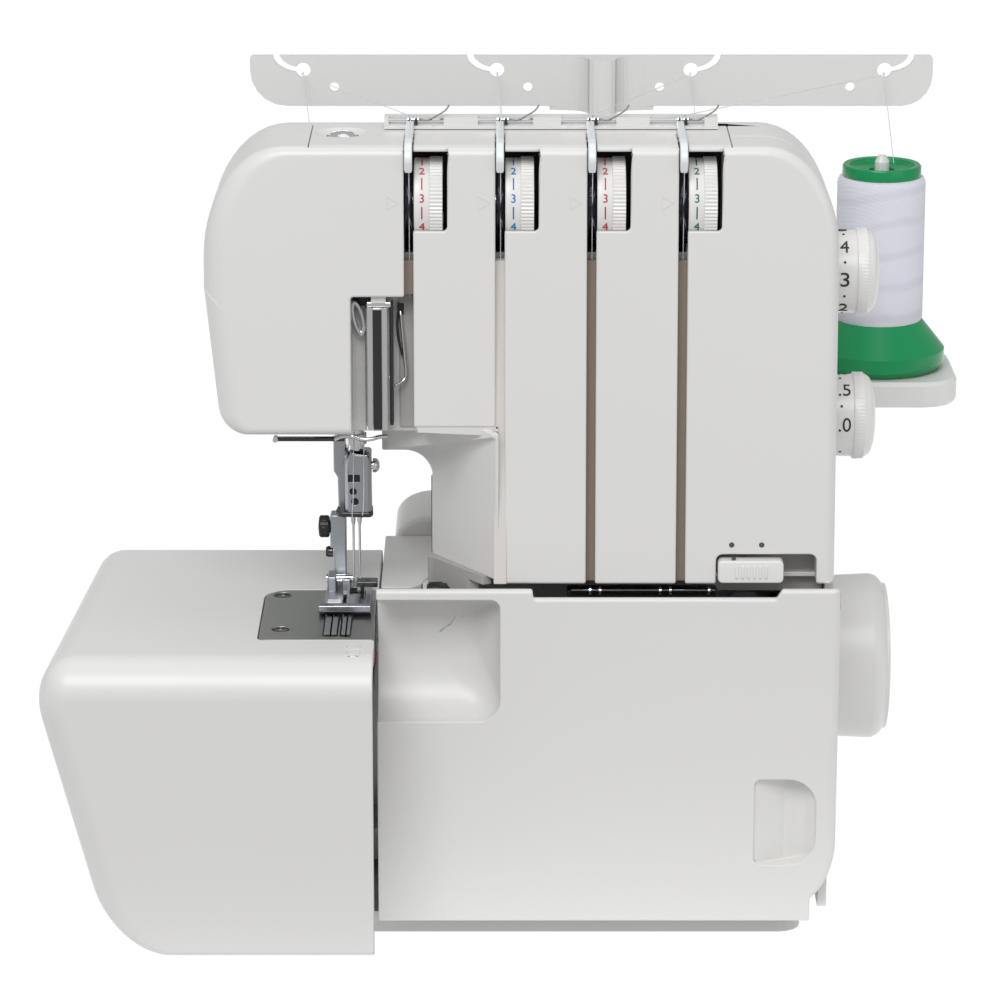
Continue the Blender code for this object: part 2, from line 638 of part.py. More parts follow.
def tension_dial(name, slot_x, mat):
    left = slot_x + WINDOW_OFFSET + 0.1
    profile = [(left, DIAL_R - 3), (left + 0.4, DIAL_R), (left + 9.6, DIAL_R), (left + 10.2, DIAL_R - 1.5)]
    y, z = TENSION_AXIS
    return turned(name, profile, "X", TENSION_AXIS, mat, origin=(left, y, z))


def tension_bracket(mat):
    """The bracket behind the dials with the four posts and their pairs of tension discs."""
    y, z = TENSION_AXIS
    bracket = box("tension_bracket", (SLOT_X[0] - 6, -54, z - 8), (SLOT_X[3] + 18, -51, z + 8), mat)
    for i, x in enumerate(SLOT_X):
        profile = [(x + 0.2, DISC_R), (x + 1.4, DISC_R - 3), (x + 2.6, DISC_R)]
        add(bracket, turned(f"discs_{i}", profile, "X", TENSION_AXIS, sides=20))
        add(bracket, box(f"disc_arm_{i}", (x + 0.6, y + 4, z - 3), (x + 2.2, -52, z + 3)))
    return bracket


def side_dial(name, z, mat):
    centre = (SIDE_DIAL_Y, z)
    profile = [
        (CASE_RIGHT + 0.6, SIDE_DIAL_R),
        (116.4, SIDE_DIAL_R),
        (116.6, SIDE_DIAL_R + 1.6),
        (121.2, SIDE_DIAL_R + 1.6),
        (123.2, SIDE_DIAL_R - 4),
        (124.0, SIDE_DIAL_R - 11),
    ]
    dial = turned(name, profile, "X", centre, mat, origin=(CASE_RIGHT, SIDE_DIAL_Y, z))
    add(dial, turned(name + "_stem", [(98, 3), (CASE_RIGHT + 2, 3)], "X", centre, sides=16))
    return dial


def handwheel(mat):
    profile = [(108.2, 20), (108.4, HANDWHEEL_R - 1), (110, HANDWHEEL_R),
               (129, HANDWHEEL_R), (132, HANDWHEEL_R - 2),
               (134, HANDWHEEL_R - 6), (134.6, 10)]
    wheel = turned("handwheel", profile, "X", SHAFT, mat, origin=(110, *SHAFT))
    cut(wheel, turned("hub_bore", [(100, SHAFT_R + GAP), (128, SHAFT_R + GAP)], "X", SHAFT))
    return wheel


def main_shaft(mat):
    """The shaft with its drive pulley and the eccentrics that work the needle bar, feed and loopers."""
    ends = [(-104, SHAFT_R), (127, SHAFT_R)]
    shaft = turned("main_shaft", ends, "X", SHAFT, mat, sides=16, origin=(0, *SHAFT))
    y, z = SHAFT
    for x, shift in ((-8, 4), (30, -4)):
        centre = (y + shift, z - shift / 2)
        add(shaft, turned("eccentric", [(x, 12), (x + 9, 12)], "X", centre, sides=16))
    low, high = BELT_X
    pulley = [(low - 2, DRIVE_PULLEY_R), (low - 0.8, DRIVE_PULLEY_R), (low - 0.6, DRIVE_PULLEY_R - 3),
              (high + 0.6, DRIVE_PULLEY_R - 3), (high + 0.8, DRIVE_PULLEY_R), (high + 2, DRIVE_PULLEY_R)]
    add(shaft, turned("drive_pulley", pulley, "X", SHAFT))
    return shaft


def motor(mat):
    body = turned("motor", [(24, 15), (27, 20), (80, 20), (83, 15)], "X", MOTOR_AXIS, mat)
    y, z = MOTOR_AXIS
    add(body, box("motor_foot", (34, y - 12, 26.8), (74, y + 12, z - 8)))
    return body


def motor_pulley(mat):
    y, z = MOTOR_AXIS
    low, high = BELT_X
    profile = [(83.4, 3), (low - 2.2, 3), (low - 2, MOTOR_PULLEY_R + 2), (low - 0.8, MOTOR_PULLEY_R + 2),
               (low - 0.6, MOTOR_PULLEY_R), (high + 0.6, MOTOR_PULLEY_R), (high + 0.8, MOTOR_PULLEY_R + 2),
               (high + 2, MOTOR_PULLEY_R + 2)]
    return turned("motor_pulley", profile, "X", MOTOR_AXIS, mat, origin=(low, y, z))


def belt_loop(extra):
    """The outline around both pulleys, extra millimetres outside their grooves."""
    big = Vector(SHAFT)
    small = Vector(MOTOR_AXIS)
    big_r = DRIVE_PULLEY_R - 3 + extra
    small_r = MOTOR_PULLEY_R + extra
    line = small - big
    base = math.atan2(line.y, line.x)
    spread = math.acos((big_r - small_r) / line.length)
    points = []
    for k in range(17):
        angle = base + spread + (2 * math.pi - 2 * spread) * k / 16
        points.append(big + big_r * Vector((math.cos(angle), math.sin(angle))))
    for k in range(9):
        angle = base - spread + 2 * spread * k / 8
        points.append(small + small_r * Vector((math.cos(angle), math.sin(angle))))
    return points


def drive_belt(mat):
    low, high = BELT_X
    belt = prism("drive_belt", belt_loop(2.0), "X", low, high, mat)
    cut(belt, prism("belt_inside", belt_loop(0.5), "X", low - 5, high + 5))
    return belt


def needle_bar(mat):
    profile = [(172.7, 2.9), (268, 2.9)]
    return turned("needle_bar", profile, "Z", (NEEDLE_X, NEEDLE_Y), mat, sides=16,
                  origin=(NEEDLE_X, NEEDLE_Y, 172.7))


def needle_clamp(mat):
    """The block at the end of the needle bar, with its flange and two needle screws."""
    x = -59.5
    clamp = box("needle_clamp", (x - 4.6, -66.5, 151.5), (x + 4.6, -57, 172.4), mat)
    flange = rounded([(-67.4, -67.5, 2), (-54.4, -67.5, 2), (-54.4, -56.5, 2), (-67.4, -56.5, 2)], steps=3)
    add(clamp, prism("clamp_flange", flange, "Z", 149.4, 151.8))
    screw = [(-55.5, 1.6), (-53.6, 1.6), (-53.4, 3.3), (-51.6, 3.3)]
    add(clamp, turned("clamp_screw", screw, "X", (-62, 167), sides=16))
    for z in (153.6, 157.4):
        cut(clamp, turned("clamp_hole", [(-70, 1.2), (-64.8, 1.2)], "Y", (x, z), sides=SMALL_ROUND))
    for dx in (-0.5, 0.5):
        place_x = NEEDLE_X + dx * NEEDLE_PITCH
        bore = [(140, 1.05), (160, 1.05)]
        cut(clamp, turned("needle_hole", bore, "Z", (place_x, NEEDLE_Y), sides=SMALL_ROUND))
    return clamp


def needle(name, x, mat):
    profile = [(123.5, 0.15), (127, 0.4), (143, 0.4), (145, 0.8), (159.5, 0.8)]
    return turned(name, profile, "Z", (x, NEEDLE_Y), mat, sides=10, origin=(x, NEEDLE_Y, 145))


def presser_bar(mat):
    profile = [(148.4, 3.0), (262, 3.0)]
    bar = turned("presser_bar", profile, "Z", (PRESSER_X, PRESSER_Y), mat, sides=16,
                 origin=(PRESSER_X, PRESSER_Y, 148))
    x, y = PRESSER_X, PRESSER_Y
    add(bar, box("lift_block", (x - 5, y - 4.5, 219.6), (x + 5, y + 20, 227)))
    add(bar, box("lift_nub", (x - 3, y + 15, 215), (x + 3, y + 20, 221)))
    return bar


def foot_holder(mat):
    """The shank below the presser bar, with its thumb screw and the pin that the foot hangs on."""
    x, y = PRESSER_X, PRESSER_Y
    holder = box("foot_holder", (x - 3.4, y - 4.2, 127.4), (x + 3.4, y + 4.2, 148.0), mat)
    add(holder, box("holder_fork", (x - 3.4, y - 2.2, 124.6), (x + 3.4, y + 2.2, 130)))
    screw = [(x - 8.2, 4.1), (x - 4.2, 4.1), (x - 4, 2), (x - 2, 2)]
    add(holder, turned("thumb_screw", screw, "X", (y, 142), sides=16))
    add(holder, turned("foot_pin", [(x - 5.6, 1.0), (x + 5.6, 1.0)], "X", (y, 125.4), sides=SMALL_ROUND))
    return holder


def presser_foot(mat):
    """The sole with its upturned toe and the two ears that hang on the holder's pin."""
    y = PRESSER_Y
    sole = BED_Z + 0.5
    side = [(-87, 122.6), (-84, sole), (-49.5, sole), (-49.5, 122.6), (-82, 122.6), (-86, 125.0)]
    foot = prism("presser_foot", side, "X", -73.2, -54.6, mat, origin=(PRESSER_X, y, 125.4))
    for x in (PRESSER_X - 5.4, PRESSER_X + 3.8):
        ear = [(y - 3.5, 121.5), (y + 2.4, 121.5), (y + 2.4, 127.9), (y - 2.6, 127.9)]
        add(foot, prism("foot_ear", ear, "X", x, x + 1.6))
    cut(foot, turned("pin_hole", [(-90, 1.3), (-40, 1.3)], "X", (y, 125.4), sides=SMALL_ROUND))
    cut(foot, box("foot_needle_slot", (-63.2, -67, 115), (-57.4, -57.5, 135)))
    return foot


def lifter_lever(mat):
    """The lever behind the head that raises the presser bar by the nub on its lift block."""
    x = PRESSER_X
    y, z = LIFTER_AXIS
    hub = [(x - 4, 4.2), (x + 4, 4.2)]
    lever = turned("lifter_lever", hub, "X", LIFTER_AXIS, mat, sides=16, origin=(x, y, z))
    handle = [(y, z - 3), (y + 72, z - 14), (y + 84, z - 22, 4), (y + 98, z - 22, 2), (y + 98, z - 18, 1),
              (y + 86, z - 18, 4), (y + 73, z - 8.5), (y, z + 3)]
    add(lever, prism("lever_handle", rounded(handle, steps=3), "X", x - 3.5, x + 3.5))
    cut(lever, turned("lever_bore", [(x - 9, 2.0), (x + 9, 2.0)], "X", LIFTER_AXIS, sides=SMALL_ROUND))
    return lever


def take_up_cover(mat):
    """The bright curved guard in the needle recess."""
    centre_x = -52.0
    outer = []
    for k in range(9):
        angle = math.pi * k / 8
        outer.append((centre_x + 4.6 * math.cos(angle), -88.6 - 2.6 * math.sin(angle)))
    outline = outer + [(centre_x - 4.6, -77.4), (centre_x + 4.6, -77.4)]
    return prism("take_up_cover", outline, "Z", 188, 233.6, mat)


def feed_dog(name, y_range, mat):
    """Two toothed blades that stand in the needle plate's slots, on one cross bar below."""
    low, high = y_range
    bar = box(name, (-70.6, low, 110), (-61.3, high, 114.6), mat)
    add(bar, box(name + "_left", (-70.6, low, 112), (-66.7, high, BED_Z + 0.3)))
    if high < -69:
        add(bar, box(name + "_right", (-64.4, low, 112), (-61.3, high, BED_Z + 0.3)))
    return bar


def lower_looper(mat):
    """The hook that swings left under the needle plate, on its own short shaft."""
    y = -69.0
    body = turned("lower_looper", [(-74, 5), (-40, 5)], "Y", (-30, 62), mat, sides=16, origin=(-30, y, 62))
    arm = rounded([(-34, 60), (-26, 60), (-40, 98, 4), (-44, 105, 3),
                   (-62, 107.5), (-62, 105.5), (-50, 101, 4),
                   (-45, 95, 3)], steps=3)
    add(body, prism("lower_hook", arm, "Y", -71.5, -68.5))
    return body


def upper_looper(mat):
    """The hook that reaches up in front of the needles, on its own short shaft."""
    body = turned("upper_looper", [(-70, 5), (-40, 5)], "Y", (-8, 54), mat, sides=16, origin=(-8, -66, 54))
    arm = rounded([(-12, 52), (-4, 52), (-26, 84, 6), (-44, 92, 8),
                   (-50.5, 113), (-52, 113), (-47, 90, 8), (-30, 78, 6)],
                  steps=3)
    add(body, prism("upper_hook", arm, "Y", -67.6, -65.2))
    return body


def upper_knife(mat):
    """The moving knife right of the presser foot, on the arm that drives it."""
    x = -52.3
    knife = box("upper_knife", (x, -80, 114), (x + 1.6, -72, 122), mat)
    arm = rounded([(-80, 120.5), (-66, 120.5), (-58, 122.5, 4), (-58, 127), (-80, 127, 3)], steps=3)
    add(knife, prism("knife_arm", arm, "X", x, x + 5))
    return knife


def lower_knife(mat):
    """The fixed lower blade in its sprung holder beside the needle plate."""
    blade = box("lower_knife", (-55.0, -80, 98), (-53.4, -72.4, BED_Z - 2.6), mat)
    add(blade, box("knife_holder", (-58.5, -80, 90), (-54.0, -72.4, 102)))
    return blade


def hem_slider(mat):
    """The selector that slides in its window, with grip ridges."""
    front = -98.4
    knob = box("hem_slider", (66.6, front + 1.6, 136.3), (89.0, -91.6, 144.0), mat)
    for k in range(6):
        x = 71.5 + 2.4 * k
        add(knob, box(f"ridge_{k}", (x, front, 136.9), (x + 1.2, front + 2.0, 143.4)))
    return knob


def pressure_screw(mat):
    profile = [(270, 3.0), (281, 3.0), (281.2, 5.2), (286, 5.2), (287.4, 3.8)]
    screw = turned("pressure_screw", profile, "Z", (-64, -56.4), mat, origin=(-64, -56.4, 281))
    cut(screw, box("screw_slot", (-71, -57.1, 286.2), (-57, -55.7, 290)))
    return screw


def top_guide(mat):
    """The guide plate along the top with the tabs that carry its rod."""
    x0, x1 = TOP_GUIDE_X
    plate = box("top_guide_plate", (x0, -44.6, TOP_Z + GAP), (x1, -42.8, TOP_Z + 3.8), mat)
    add(plate, box("guide_base", (x0, -53, TOP_Z + GAP), (x1, -43, TOP_Z + 1.1)))
    y, z = TOP_GUIDE_ROD
    for low, high in ((x0, x0 + 1.5), (-29.0, -17.1), (2.1, 11.9), (31.1, 42.8), (61.8, x1)):
        add(plate, box("guide_tab", (low, y - 2.2, TOP_Z + GAP), (high, -43, TOP_Z + 3.8)))
    cut(plate, turned("rod_bore", [(x0 - 2, 1.0), (x1 + 2, 1.0)], "X", TOP_GUIDE_ROD, sides=SMALL_ROUND))
    return plate


def top_guide_rod(mat):
    x0, x1 = TOP_GUIDE_X
    ends = [(x0 + 0.2, 0.7), (x1 - 0.2, 0.7)]
    return turned("top_guide_rod", ends, "X", TOP_GUIDE_ROD, mat, sides=SMALL_ROUND)


def smooth_route(points, steps=8):
    """Points along a smooth curve through the route's own points."""
    ends = [points[0]] + list(points) + [points[-1]]
    route = []
    for i in range(len(points) - 1):
        a, b, c, d = (Vector(p) for p in ends[i:i + 4])
        for k in range(steps):
            t = k / steps
            route.append(0.5 * (2 * b + (c - a) * t + (2 * a - 5 * b + 4 * c - d) * t * t
                                + (3 * b - a - 3 * c + d) * t**3))
    route.append(Vector(points[-1]))
    return route


def thread(name, spool_x, guide_x, mat):
    """Sewing thread from a spool, up through the guide bar and forward to the top guide."""
    top = STAND_Z[1] + 92
    points = [
        (spool_x + 9, SPOOL_Y + 9, STAND_Z[1] + SPOOL_HEIGHT + 2),
        (spool_x + 3, SPOOL_Y + 6, top),
        (spool_x, SPOOL_Y + 4, HOLE_Z - 2),
        (spool_x, SPOOL_Y, HOLE_Z - 0.6),
        (spool_x + (guide_x - spool_x) * 0.05, SPOOL_Y - 6, HOLE_Z - 0.2),
        (guide_x, TOP_GUIDE_ROD[0] + 12, TOP_GUIDE_ROD[1] + 1.2),
    ]
    curve = bpy.data.curves.new(name, "CURVE")
    curve.dimensions = "3D"
    curve.bevel_depth = THREAD_R * MM
    curve.bevel_resolution = 2
    curve.use_fill_caps = True
    route = smooth_route(points, steps=2)
    spline = curve.splines.new("POLY")
    spline.points.add(len(route) - 1)
    for spline_point, p in zip(spline.points, route):
        spline_point.co = (*(p * MM), 1.0)
    curve.materials.append(mat)
    obj = bpy.data.objects.new(name, curve)
    bpy.context.scene.collection.objects.link(obj)
    return obj


def power_switch(mat):
    profile = [(104.6, 22.6), (107.6, 22.6), (109.2, 33), (107.6, 43.4), (104.6, 43.4)]
    return prism("power_switch", profile, "Y", -77.6, -64.4, mat, origin=(104.6, -71, 33))


def power_inlet(mat):
    body = box("power_inlet", (94, -57.6, 20.4), (106.4, -30.4, 43.6), mat)
    cut(body, box("inlet_socket", (96, -54, 24), (110, -34, 40)))
    return body


def hinge_rod(mat):
    ends = [(-44, HINGE_ROD_R), (98, HINGE_ROD_R)]
    return turned("cover_hinge_rod", ends, "X", COVER_HINGE, mat, sides=SMALL_ROUND)


def build_casing(white, grey, rubber):
    base_tray(grey)
    for name, x, y in (("foot_front_left", -98, -72), ("foot_front_right", 78, -72),
                       ("foot_rear_left", -98, 38),
                       ("foot_rear_right", 78, 38)):
        rubber_foot(name, x, y, rubber)
    front_cover(white)
    top_cover(white)
    rear_cover(white)
    side_cover(white)
    throat_cover(white)
    looper_cover(white)
    cloth_plate(white)


def build_threading(white, steel, spool_mat, thread_mat):
    spool_stand(white)
    tube("pole_outer", 14, 260, POLE_R[0], POLE_R[1] + GAP, white)
    tube("pole_inner", 17, 262, POLE_R[1], POLE_R[2] + GAP, steel)
    guide_bar(white)
    top_guide(white)
    top_guide_rod(steel)
    tension_bracket(steel)
    for i, x in enumerate(SPOOL_X):
        spool(f"spool_{i + 1}", x, spool_mat)
        thread(f"thread_{i + 1}", x, SLOT_X[i] + 4.5, thread_mat)
    for i, x in enumerate(SLOT_X):
        tension_dial(f"tension_dial_{i + 1}", x, white)


def build_mechanism(cast, steel, bright, black):
    machine_frame(cast)
    needle_plate(steel)
    needle_bar(bright)
    needle_clamp(steel)
    needle("needle_left", NEEDLE_X - NEEDLE_PITCH / 2, bright)
    needle("needle_right", NEEDLE_X + NEEDLE_PITCH / 2, bright)
    presser_bar(bright)
    foot_holder(steel)
    presser_foot(steel)
    lifter_lever(steel)
    take_up_cover(bright)
    feed_dog("feed_dog_differential", (-105, -86), steel)
    feed_dog("feed_dog_main", (-81, -70.5), steel)
    lower_looper(bright)
    upper_looper(bright)
    upper_knife(steel)
    lower_knife(steel)
    main_shaft(bright)
    motor(black)
    motor_pulley(steel)
    drive_belt(black)


def build_controls(white, steel, black, grey):
    side_dial("stitch_length_dial", STITCH_DIAL_Z, white)
    side_dial("differential_dial", DIFFERENTIAL_DIAL_Z, white)
    handwheel(white)
    hem_slider(white)
    pressure_screw(steel)
    hinge_rod(steel)
    power_switch(black)
    power_inlet(grey)


def main():
    clear_scene()
    white = material("casing_white", (0.80, 0.79, 0.77), 0.35)
    grey = material("base_grey", (0.45, 0.45, 0.45), 0.5)
    black = material("black_plastic", (0.03, 0.03, 0.03), 0.45)
    rubber = material("foot_rubber", (0.05, 0.05, 0.05), 0.8)
    cast = material("cast_frame", (0.6, 0.61, 0.62), 0.5, 0.8)
    steel = material("satin_steel", (0.55, 0.57, 0.60), 0.35, 1.0)
    bright = material("bright_steel", (0.8, 0.8, 0.8), 0.12, 1.0)
    spool_mat = material("spool_green", (0.0, 0.34, 0.12), 0.35)
    thread_mat = material("thread_white", (0.75, 0.76, 0.86), 0.8)
    build_casing(white, grey, rubber)
    build_threading(white, steel, spool_mat, thread_mat)
    build_mechanism(cast, steel, bright, black)
    build_controls(white, steel, black, grey)


main()
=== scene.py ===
"""The looks of the overlock machine: fine casings, dials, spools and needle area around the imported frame.

Lengths are in millimetres and become metres when a mesh is made. X points to the machine's right, Y to its
back and Z up. Places are read from the frame's nodes, or worked out from them.
"""

import json
import math

import bmesh
import bpy
from mathutils import Matrix, Vector


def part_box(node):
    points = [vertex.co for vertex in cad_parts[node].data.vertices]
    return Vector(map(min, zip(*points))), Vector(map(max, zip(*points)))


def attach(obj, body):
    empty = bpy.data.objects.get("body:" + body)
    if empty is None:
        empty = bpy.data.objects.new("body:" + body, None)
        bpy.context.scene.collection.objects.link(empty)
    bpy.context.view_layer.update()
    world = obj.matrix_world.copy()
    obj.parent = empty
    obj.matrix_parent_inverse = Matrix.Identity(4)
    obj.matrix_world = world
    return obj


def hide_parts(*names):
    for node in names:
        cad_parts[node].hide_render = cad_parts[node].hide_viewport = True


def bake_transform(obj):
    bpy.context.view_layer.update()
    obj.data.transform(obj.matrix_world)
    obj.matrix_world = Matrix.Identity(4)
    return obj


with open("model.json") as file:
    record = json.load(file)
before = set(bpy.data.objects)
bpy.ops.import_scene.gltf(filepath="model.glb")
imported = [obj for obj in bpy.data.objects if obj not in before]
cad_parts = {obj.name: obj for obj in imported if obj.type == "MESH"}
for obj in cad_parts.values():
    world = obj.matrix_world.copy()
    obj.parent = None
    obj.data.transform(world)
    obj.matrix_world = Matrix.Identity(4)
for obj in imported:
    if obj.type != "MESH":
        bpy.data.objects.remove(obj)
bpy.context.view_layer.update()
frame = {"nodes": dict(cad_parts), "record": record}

MM = 0.001
GAP = 0.3
WALL = 2.5
SIDES = 64
Y = Vector((0, 1, 0))


def node_box(node):
    """The lowest and highest corner of a node, in millimetres."""
    low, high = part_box(node)
    return Vector(low) / MM, Vector(high) / MM


def middle(node):
    low, high = node_box(node)
    return (low + high) / 2


# Casing: places read from the frame where a node marks them, the rest in the same millimetres
FRONT_LOW, FRONT_HIGH = node_box("front_cover")
FRONT_Y = FRONT_LOW.y
SEAM_Y = FRONT_HIGH.y
HEAD_LEFT = FRONT_LOW.x
CASE_RIGHT = FRONT_HIGH.x
FRONT_BOTTOM = FRONT_LOW.z
TOP_Z = FRONT_HIGH.z
FRONT_LEAN = 12.0
HEAD_BOTTOM = 185.0
HEAD_LIP = 187.3
PANEL_LIP = 190.3
BULGE_TOP = 127.0
CASE_BACK = node_box("rear_cover")[1].y
CASE_BOTTOM = node_box("rear_cover")[0].z
HEAD_BACK = 36.0
HEAD_FOOT_X = -106.0
HEAD_WAIST_Z = 238.0
HEAD_CORNER = (28, 40)
HEAD_FALL_BASE = 186.0
BARS_LEFT, BARS_RIGHT, BARS_BACK = -74, -54, -44
CASE_CORNER = (36, 26)
BULGE_LEFT = -48.8
COLUMN_LEFT = -33.0
BED_Z = node_box("needle_plate")[1].z
TOP_COVER_LOW, TOP_COVER_HIGH = node_box("top_cover")
SCREW_AT = middle("pressure_screw")

# Thread slots, dial windows, needle recess and hem selector window (left, right, top)
SLOT_WIDTH = 3.2
DIAL_INSET = 3.45
SLOT_X = [node_box(f"tension_dial_{i}")[0].x - DIAL_INSET for i in (1, 2, 3, 4)]
SLOT_FLOOR_Y = -80.0
DISC_SPACE_BOTTOM = 247.5
DIAL_SPACE = (-84.6, 249.6)
LINING_RIGHT = SLOT_X[3] + 18
WINDOW_RIGHT = 14.85
WINDOW_BOTTOM = 258.3
DIAL_AT = middle("tension_dial_1")
DIAL_BAND = 0.45
DIAL_R = (node_box("tension_dial_1")[1].z - node_box("tension_dial_1")[0].z) / 2
RECESS_LEFT = -60.7
RECESS_TOP = 235.6
RECESS_BACK = -77.0
SLIDER_WINDOW = (65.6, 100.5, 145.7)

# Looper cover, top seat, needle plate and slanted wall
COVER_STEP = 2.2
COVER_NOTCH = 3.1
SEAT_DEPTH = 2.2
FEED_SLOTS = ((-70.9, -65.6), (-64.9, -61.0))
NEEDLE_SLOT = (-62.6, -57.8, -65.4, -58.8)
PLATE_SCREWS = ((-86.9, -60.2), (-85.6, -100.0))
WALL_FOOT_Z = FRONT_BOTTOM + 0.9
WALL_TOP_Z = 189.0
WALL_CEILING = 187.4

# Thread path, handwheel, needle clamp and loopers
SPOOLS = [middle(f"spool_{i}") for i in (1, 2, 3, 4)]
BAR_LOW, BAR_HIGH = node_box("guide_bar")
HOLE_Z = BAR_HIGH.z - 5.7
HOLE_X = (-85.0, -10.6, 63.3, 137.4)
ROD = middle("top_guide_rod")
WHEEL_LOW, WHEEL_HIGH = node_box("handwheel")
CLAMP_LOW, CLAMP_HIGH = node_box("needle_clamp")
CLAMP_RISE = Vector((0, 0, 1.6))
CLAMP_SIDES = (-64.1, -54.8)
SET_SQUARE = (-62.9, -58.8, 163.8, 166.4)
SET_SCREWS = ((-61.2, 160.3, 1.2), (-60.6, 156.6, 1.25))
LOOPER_ROD = (-91.6, 131.4)
THREAD_RADIUS = 0.16
THREAD_ENDS = (236, 190, 140, 140)
STRAND_RADIUS = 0.17


# ---------------------------------------------------------------- materials


def nodes_of(mat):
    return mat.node_tree.nodes, mat.node_tree.links


def set_inputs(node, **values):
    """Sets a node's sockets by name, with underscores for the spaces."""
    for socket, value in values.items():
        node.inputs[socket.replace("_", " ")].default_value = value


def plain(name, colour, roughness, metallic=0.0, **sockets):
    """A Principled material with its fixed values on the shader's own sockets."""
    mat = bpy.data.materials.new(name)
    mat.use_nodes = True
    shader = mat.node_tree.nodes["Principled BSDF"]
    set_inputs(shader, Base_Color=(*colour, 1.0), Roughness=roughness, Metallic=metallic, **sockets)
    return mat


def add_noise(mat, scale, detail=3.0, stretch=(1, 1, 1)):
    """A noise texture in object coordinates, stretched along the given axes."""
    nodes, links = nodes_of(mat)
    place = nodes.new("ShaderNodeTexCoord")
    mapping = nodes.new("ShaderNodeMapping")
    set_inputs(mapping, Scale=stretch)
    noise = nodes.new("ShaderNodeTexNoise")
    set_inputs(noise, Scale=scale, Detail=detail)
    links.new(place.outputs["Object"], mapping.inputs["Vector"])
    links.new(mapping.outputs["Vector"], noise.inputs["Vector"])
    return noise


def vary_roughness(mat, noise, low, high):
    nodes, links = nodes_of(mat)
    ramp = nodes.new("ShaderNodeMapRange")
    set_inputs(ramp, To_Min=low, To_Max=high)
    links.new(noise.outputs["Fac"], ramp.inputs["Value"])
    links.new(ramp.outputs["Result"], nodes["Principled BSDF"].inputs["Roughness"])


def vary_colour(mat, texture, dark, light, span=(0.3, 0.7)):
    """Runs the base colour from dark to light over a span of the texture's values."""
    nodes, links = nodes_of(mat)
    ramp = nodes.new("ShaderNodeValToRGB")
    for element, position, colour in zip(ramp.color_ramp.elements, span, (dark, light)):
        element.position = position
        element.color = (*colour, 1)
    links.new(texture.outputs["Fac"], ramp.inputs["Fac"])
    links.new(ramp.outputs["Color"], nodes["Principled BSDF"].inputs["Base Color"])


def add_bump(mat, height, strength, distance):
    nodes, links = nodes_of(mat)
    bump = nodes.new("ShaderNodeBump")
    set_inputs(bump, Strength=strength, Distance=distance)
    links.new(height, bump.inputs["Height"])
    links.new(bump.outputs["Normal"], nodes["Principled BSDF"].inputs["Normal"])


def moulded(name, colour, roughness, grain=0.04):
    """Moulded plastic: a fine spark-eroded grain and slight changes of gloss."""
    mat = plain(name, colour, roughness, Specular_IOR_Level=0.5)
    slow = add_noise(mat, 14, 2)
    vary_roughness(mat, slow, roughness - 0.05, roughness + 0.06)
    shade = add_noise(mat, 5, 2)
    vary_colour(mat, shade, [c * 0.985 for c in colour], [min(c * 1.01, 1) for c in colour])
    fine = add_noise(mat, 2600, 2)
    add_bump(mat, fine.outputs["Fac"], grain, 0.0001)
    return mat


def metal(name, colour, roughness, stretch=(1, 1, 1), grain=0.05, scale=900):
    """Metal with fine lines along the direction in which the noise is stretched."""
    mat = plain(name, colour, roughness, 1.0)
    lines = add_noise(mat, scale, 3, stretch)
    vary_roughness(mat, lines, max(roughness - 0.08, 0.02), roughness + 0.1)
    add_bump(mat, lines.outputs["Fac"], grain, 0.0001)
    return mat


def wound(name, colour, dark):
    """Thread wound on a spool: fine turns crossed by slanting layers, with a slight shadow between them."""
    mat = plain(name, colour, 0.75, Sheen_Weight=0.25)
    nodes, links = nodes_of(mat)
    place = nodes.new("ShaderNodeTexCoord")
    mapping = nodes.new("ShaderNodeMapping")
    set_inputs(mapping, Rotation=(math.radians(6), math.radians(9), 0))
    links.new(place.outputs["Object"], mapping.inputs["Vector"])
    waves = []
    for scale, distortion, detail_scale in ((620, 1.2, 0.5), (26, 1.6, 1.6)):
        wave = nodes.new("ShaderNodeTexWave")
        wave.bands_direction = "Z"
        set_inputs(wave, Scale=scale, Distortion=distortion, Detail_Scale=detail_scale)
        links.new(mapping.outputs["Vector"], wave.inputs["Vector"])
        waves.append(wave)
    turns, layers = waves
    vary_colour(mat, layers, dark, colour, (0.02, 0.28))
    add_bump(mat, turns.outputs["Fac"], 0.5, 0.0002)
    return mat


